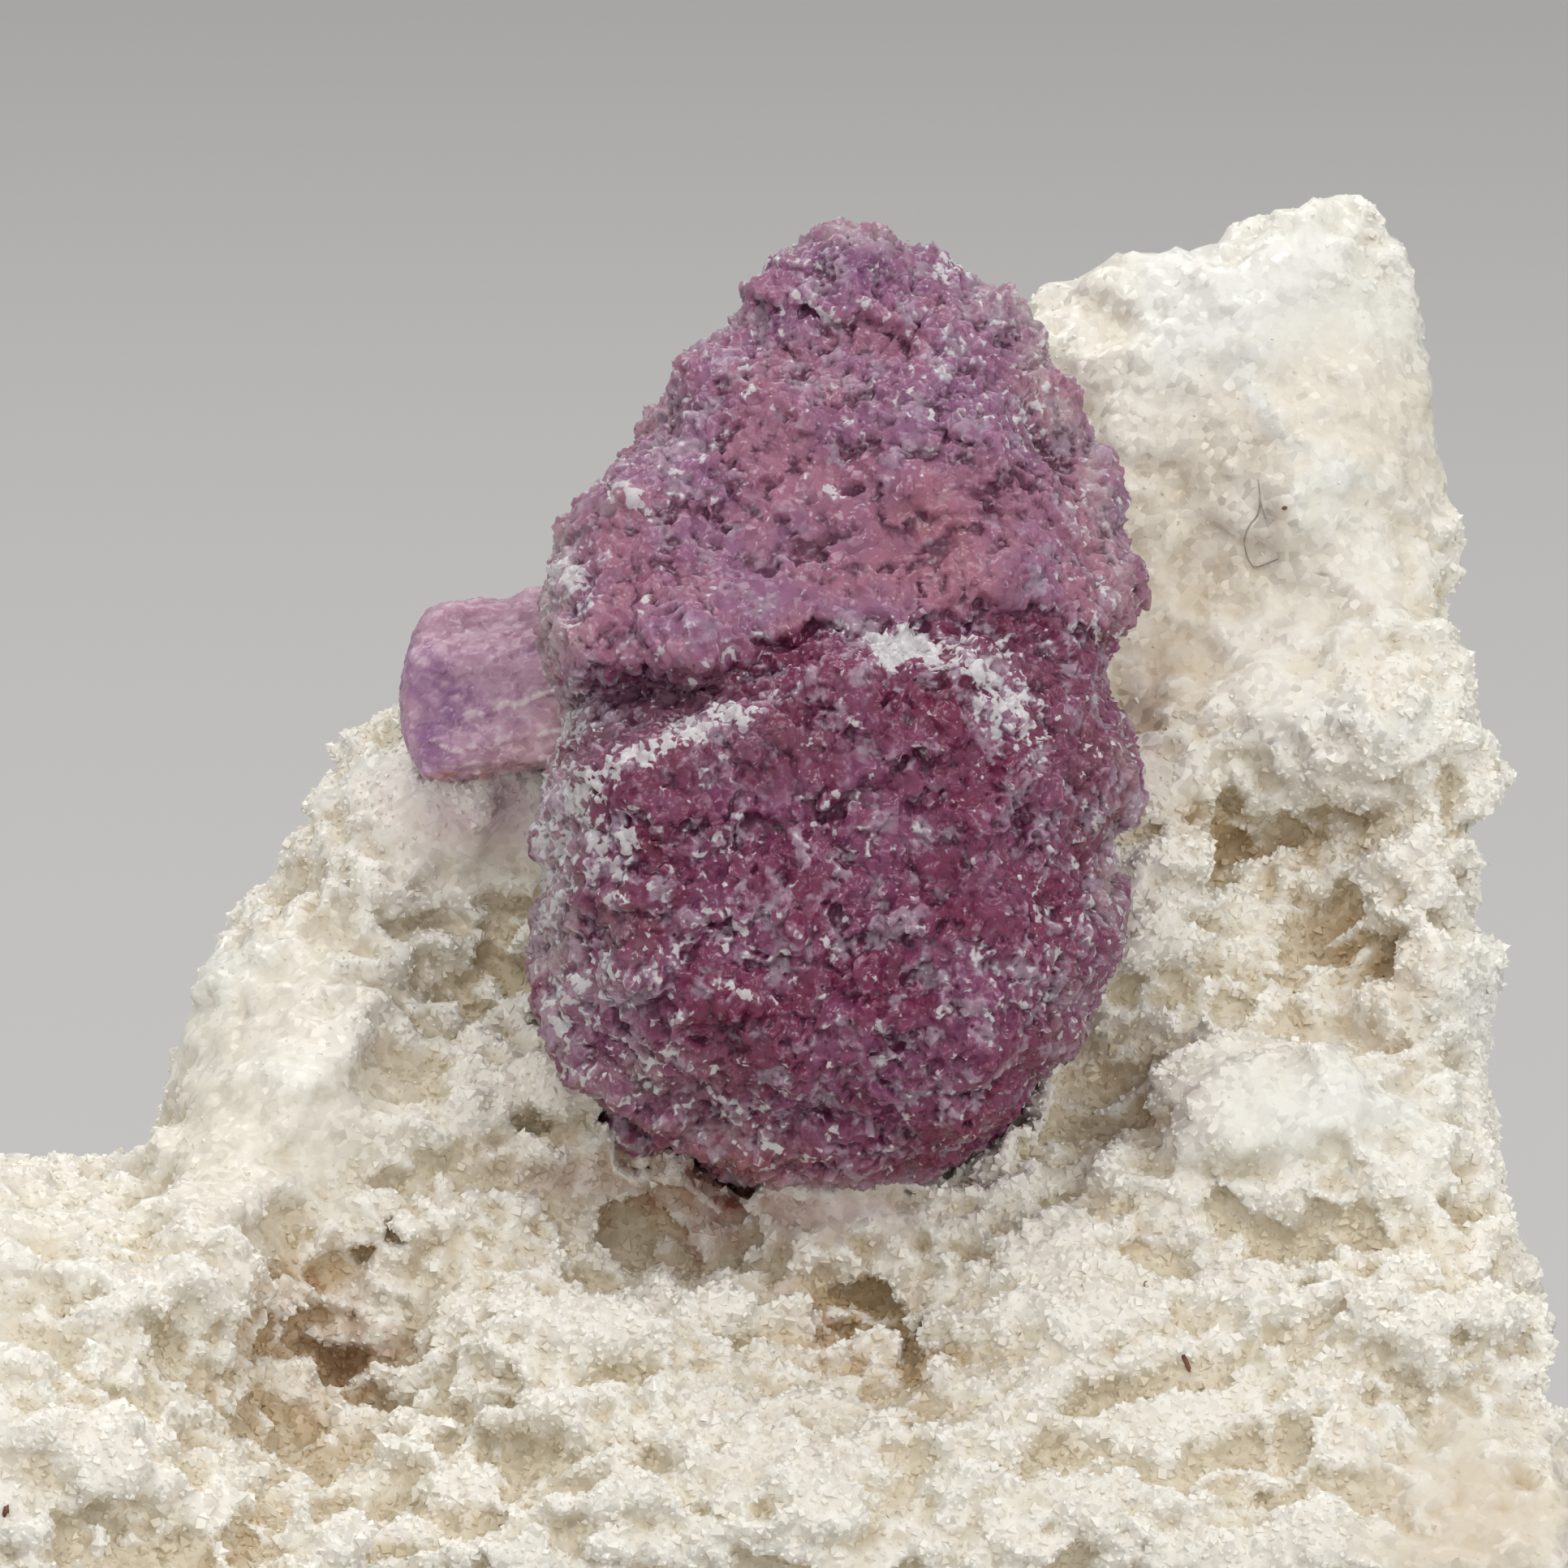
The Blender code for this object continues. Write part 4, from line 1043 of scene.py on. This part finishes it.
# the small fluorite
little = {
    "cell": 0.00008,
    "reach": 0.0012,   # how near to the large crystal it leans over to it
    "lean": (0.5, 0.0, 0.2),
    "flatFaces": 0.0003,
    "cloudScale": 500.0,
    "mottleScale": 2000.0,
    "colours": {
        "deep": (156, 112, 156), "light": (194, 156, 180), "top": (194, 154, 172), "low": (208, 172, 176),
        "pale": (210, 184, 202), "foot": (186, 122, 104), "white": (232, 216, 220),
    },
    "steps": [
        ([(-8.3, 1.65), (-7.6, 1.75), (-6.8, 2.1), (-5.7, 2.45)], 0.16, 0.5),
        ([(-9.2, 1.1), (-8.4, 0.85), (-7.6, 0.85), (-6.9, 1.15), (-6.0, 1.3)], 0.13, 0.4),
        ([(-9.3, 0.55), (-8.4, 0.45), (-7.2, 0.5), (-6.2, 0.7)], 0.08, 0.3),
        ([(-9.6, 3.0), (-8.4, 2.75), (-7.4, 2.95), (-6.4, 2.8)], 0.06, 0.5),
        ([(-9.4, 3.66), (-8.0, 3.6), (-6.4, 3.7)], 0.08, 0.3),
    ],
    "whiteLines": [(1.0, 0.10), (0.8, 0.07), (0.5, 0.06)],  # strength and width, on the first steps
}


def smallWave(u):
    return 0.05 * np.sin(u * 3.1) + 0.03 * np.sin(u * 7.0 + 1.0) + 0.012 * np.sin(u * 23.0)


def smallSurface():
    tree, start = geometryTree("smallSurface")
    place = viewPlace(start)
    bent = warped(place, 0.6, 0.2)
    lowest = start.node("ShaderNodeSeparateXYZ", {}, {0: place}, out=1).ramp(0.9, 0.1)
    distance = (noiseOf(bent, 0.7, 4.0, 0.6) - 0.5) * 0.18 + facetsOf(bent, 0.3)[0] * 0.2
    distance = distance + lowest * (0.4 - cellsOf(bent, 0.32, 2.0)) * 0.25
    finishTree(start, pushedOut(start, start, distance))
    return tree


def makeSmallCrystal():
    mesh = relaxed(remeshed(weldedCopy("small_fluorite"), little["cell"]), 4)
    u, v, w = viewOf(mesh)
    wave = smallWave(u)
    grooves = 0.008 * np.sin(v * 21.0 + wave * 30) * smoothStep(3.2, 3.8, v)
    rise = (stepSum(u, v, little["steps"], wave) + grooves) * mm
    points = getPoints(mesh) + getNormals(mesh) * rise[:, None]
    lean = little["lean"] @ axes * mm
    setPoints(mesh, points + lean * nearness(mesh, "large_fluorite", little["reach"])[:, None])
    mesh = withTree(mesh, smallSurface())
    lines = 0
    u, v, w = viewOf(mesh)
    for (line, rise, fade), (strength, width) in zip(little["steps"], little["whiteLines"]):
        inside = smoothStep(line[0][0] - 0.2, line[0][0] + 0.3, u)
        lines = lines + strength * inside * hump(v - lineAt(u, line) - wave - 0.03, width)
    setFields(mesh, {
        "line": np.clip(lines, 0, 1),
        "foot": hump(v - 0.1 + 0.1 * np.sin(u * 6), 0.16) * (1 - smoothStep(-7.8, -7.2, u)),
        "low": 1 - smoothStep(0.2, 2.4, v - 0.8 * (u + 7.2)),
        "top": smoothStep(3.4, 3.8, v),
        "edge": heightOver(mesh, 6),
    })
    mesh.shade_smooth()
    return mesh


def lilacMaterial():
    made, start = shaderTree("lilacFluorite")
    part, colours = attributes(start, "line", "foot", "top", "low", "edge"), little["colours"]
    place = objectPlace(start)
    clouds = noiseAt(place, little["cloudScale"], 5.0, 0.6)
    mottle = noiseAt(place, little["mottleScale"], 4.0, 0.6)
    # white along the step lines, and painted highlight on raised edges, broken up by random mottle
    white = part.line * clouds.ramp(0.3, 0.5, 0.2, 0.9) + part.edge * 6.0 + (mottle - 0.5) * 2.4
    colour = layered(start, paint(*colours["deep"]), colours, {
        "light": clouds.ramp(0.40, 0.60),
        "top": part.top * 0.7,
        "low": part.low * 0.75,
        "pale": mottle.ramp(0.5, 0.66) * 0.45,
        "foot": part.foot * mottle.ramp(0.46, 0.58),
        "white": white.ramp(0.2, 1.0),
    })
    rise = facetsOf(place, little["flatFaces"])[0]
    finishMaterial(start, {
        "Base Color": colour, "Roughness": mottle.ramp(0.35, 0.65, 0.22, 0.42), "IOR": 1.434,
        "Normal": bumped(start, 0.5, rise), "Transmission Weight": 0.15,
        "Subsurface Weight": 0.5, "Subsurface Scale": 0.001, "Subsurface Radius": (1.0, 0.6, 0.8),
    })
    return made


# dust and specks on the rock
dirt = {
    # in pixels of the photograph
    "fibre": [
        (1558, 586), (1561, 610), (1558, 630), (1546, 645), (1541, 660), (1542, 672), (1546, 686), (1554, 696),
        (1570, 690), (1585, 684),
    ],
    "branch": [(1561, 611), (1563, 622), (1568, 636)],
    "fibreWidth": 0.000034,
    "specks": [   # place in the picture, length, width, turn in degrees
        (1590, 622, 0.00016, 0.00010, 20),
        (1457, 1672, 0.00072, 0.00014, -68),
        (36, 1834, 0.00034, 0.00016, 80),
        (1408, 1578, 0.00024, 0.00010, 60),
    ],
    "mottleScale": 4000.0,
    "dust": ((146, 138, 126), (172, 164, 150)),
    "rust": ((92, 52, 40), (128, 84, 66)),
}


def ontoRock(rockTree, x, y, lift):
    # the point of the rock seen at this pixel, and which way the rock faces there
    scale = view["frameWidth"] * 1000 / view["pixels"]
    u, v = (x - view["pixels"] / 2) * scale, (view["pixels"] / 2 - y) * scale
    start = view["middle"] + Vector(axes.T @ np.array((u, v, 60)) / 1000)
    spot, normal, face, distance = rockTree.ray_cast(start, Vector(-axes[2]))
    return spot + normal * lift, normal


def makeFibres(rockTree):
    bm = bmesh.new()
    for path in (dirt["fibre"], dirt["branch"]):
        ends = np.linspace(0, len(path) - 1, 5 * len(path))
        curve = np.column_stack([np.interp(ends, range(len(path)), [spot[k] for spot in path]) for k in range(2)])
        for _ in range(4):
            curve[1:-1] = (curve[:-2] + 2 * curve[1:-1] + curve[2:]) / 4
        centres = [ontoRock(rockTree, x, y, dirt["fibreWidth"] * 0.8)[0] for x, y in curve]
        last = len(centres) - 1
        rings = []
        for number, centre in enumerate(centres):
            ahead = centres[min(number + 1, last)] - centres[max(number - 1, 0)]
            width = dirt["fibreWidth"] * (0.5 if number in (0, last) else 1.0)
            turn = Matrix.Translation(centre) @ ahead.to_track_quat("Z", "Y").to_matrix().to_4x4()
            rings.append(bmesh.ops.create_circle(bm, segments=6, radius=width / 2, matrix=turn)["verts"])
        for pair in zip(rings, rings[1:]):
            edges = {e for ring in pair for v in ring for e in v.link_edges if all(o in ring for o in e.verts)}
            bmesh.ops.bridge_loops(bm, edges=list(edges))
        bmesh.ops.contextual_create(bm, geom=rings[0])
        bmesh.ops.contextual_create(bm, geom=rings[-1])
    bmesh.ops.recalc_face_normals(bm, faces=bm.faces)
    mesh = meshFrom(bm, "fibres")
    mesh.shade_smooth()
    return mesh


def makeSpecks(rockTree):
    bm = bmesh.new()
    random.seed(8)
    for x, y, length, width, turn in dirt["specks"]:
        spot, normal = ontoRock(rockTree, x, y, width * 0.15)
        lay = Matrix.Translation(spot) @ normal.to_track_quat("Z", "Y").to_matrix().to_4x4()
        lay = lay @ Matrix.Rotation(math.radians(turn), 4, "Z")
        for vertex in bmesh.ops.create_icosphere(bm, subdivisions=2, radius=1.0)["verts"]:
            long, wide, high = vertex.co
            bump = random.uniform(0.8, 1.15)
            vertex.co = lay @ Vector((long * length / 2 * bump, wide * width / 2 * bump, high * width * 0.4))
    bmesh.ops.recalc_face_normals(bm, faces=bm.faces)
    return meshFrom(bm, "specks")


def dirtMaterial(name, dark, light):
    made, start = shaderTree(name)
    mottle = noiseAt(objectPlace(start), dirt["mottleScale"], 3.0)
    colour = mixed(start, mottle.ramp(0.4, 0.6), paint(*dark), paint(*light))
    finishMaterial(start, {"Base Color": colour, "Roughness": 0.7})
    return made


# floor and lights
stage = {
    "floorSize": 4.0,
    "floorColour": (186, 186, 186),
    "lightsMiddle": (0, 0, 0.02),
    # name, degrees round from the front and up, distance, size, power, colour
    "lights": [
        ("key", -20, 52, 0.6, 0.22, 0.82, (1.0, 0.985, 0.955)),
        ("side", 48, 32, 0.6, 0.35, 0.88, (1.0, 0.99, 0.97)),
        ("front", 6, 8, 0.7, 0.40, 0.68, (1.0, 0.985, 0.96)),
        ("top", 20, 112, 0.5, 0.35, 0.90, (1.0, 0.99, 0.97)),
    ],
    "worldColour": (1.0, 0.985, 0.96, 1),
    "worldStrength": 0.54,
}


def makeStage():
    bm = bmesh.new()
    bmesh.ops.create_grid(bm, x_segments=1, y_segments=1, size=stage["floorSize"])
    floor = makeObject("floor", meshFrom(bm, "floor"))
    made, start = shaderTree("paleFloor")
    finishMaterial(start, {"Base Color": paint(*stage["floorColour"]), "Roughness": 0.8})
    floor.data.materials.append(made)


def makeLights():
    for name, around, up, distance, size, power, colour in stage["lights"]:
        data = bpy.data.lights.new(name, "AREA")
        data.shape, data.size, data.energy, data.color = "DISK", size, power, colour
        lamp = makeObject(name, data)
        a, e = math.radians(around), math.radians(up)
        towards = Vector((math.sin(a) * math.cos(e), -math.cos(a) * math.cos(e), math.sin(e)))
        lamp.location = Vector(stage["lightsMiddle"]) + towards * distance
        lamp.rotation_euler = towards.to_track_quat("Z", "Y").to_euler()
    world = bpy.data.worlds.new("studio")
    bpy.context.scene.world = world
    world.use_nodes = True
    sky = world.node_tree.nodes["Background"].inputs
    sky["Color"].default_value, sky["Strength"].default_value = stage["worldColour"], stage["worldStrength"]


def makeCamera():
    data = bpy.data.cameras.new("camera")
    camera = makeObject("camera", data)
    back = Vector(axes[2])
    camera.location = view["middle"] + back * view["distance"]
    camera.rotation_euler = back.to_track_quat("Z", "Y").to_euler()
    data.sensor_width = view["sensor"]
    data.lens = view["sensor"] * view["distance"] / view["frameWidth"]
    data.clip_start = 0.01
    bpy.context.scene.camera = camera


def addPiece(name, mesh, material, node=None):
    mesh.materials.clear()
    mesh.materials.append(material)
    piece = makeObject(name, mesh)
    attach(piece, "root")
    if node:
        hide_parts(node)
    print(name, triangleCount(mesh), "triangles")


bpy.context.scene.view_settings.view_transform = "Standard"
makeStage()
makeLights()
makeCamera()
print("stage set")
rockMesh = makeRock()
print("rock shaped")
grainQuartz = quartzMaterial("quartzGrains", True)
for number, grains in enumerate(makeGrains(rockMesh)):
    addPiece(f"quartzGrains{number + 1}", grains, grainQuartz)
addPiece("quartzRock", rockMesh, quartzMaterial("quartzRock", False), "quartz_matrix")
rockTree = treeOf(rockMesh)
addPiece("dustFibre", makeFibres(rockTree), dirtMaterial("dust", *dirt["dust"]))
addPiece("darkSpecks", makeSpecks(rockTree), dirtMaterial("rustSpeck", *dirt["rust"]))
addPiece("largeFluorite", makeCrystal(), fluoriteMaterial(), "large_fluorite")
addPiece("smallFluorite", makeSmallCrystal(), lilacMaterial(), "small_fluorite")
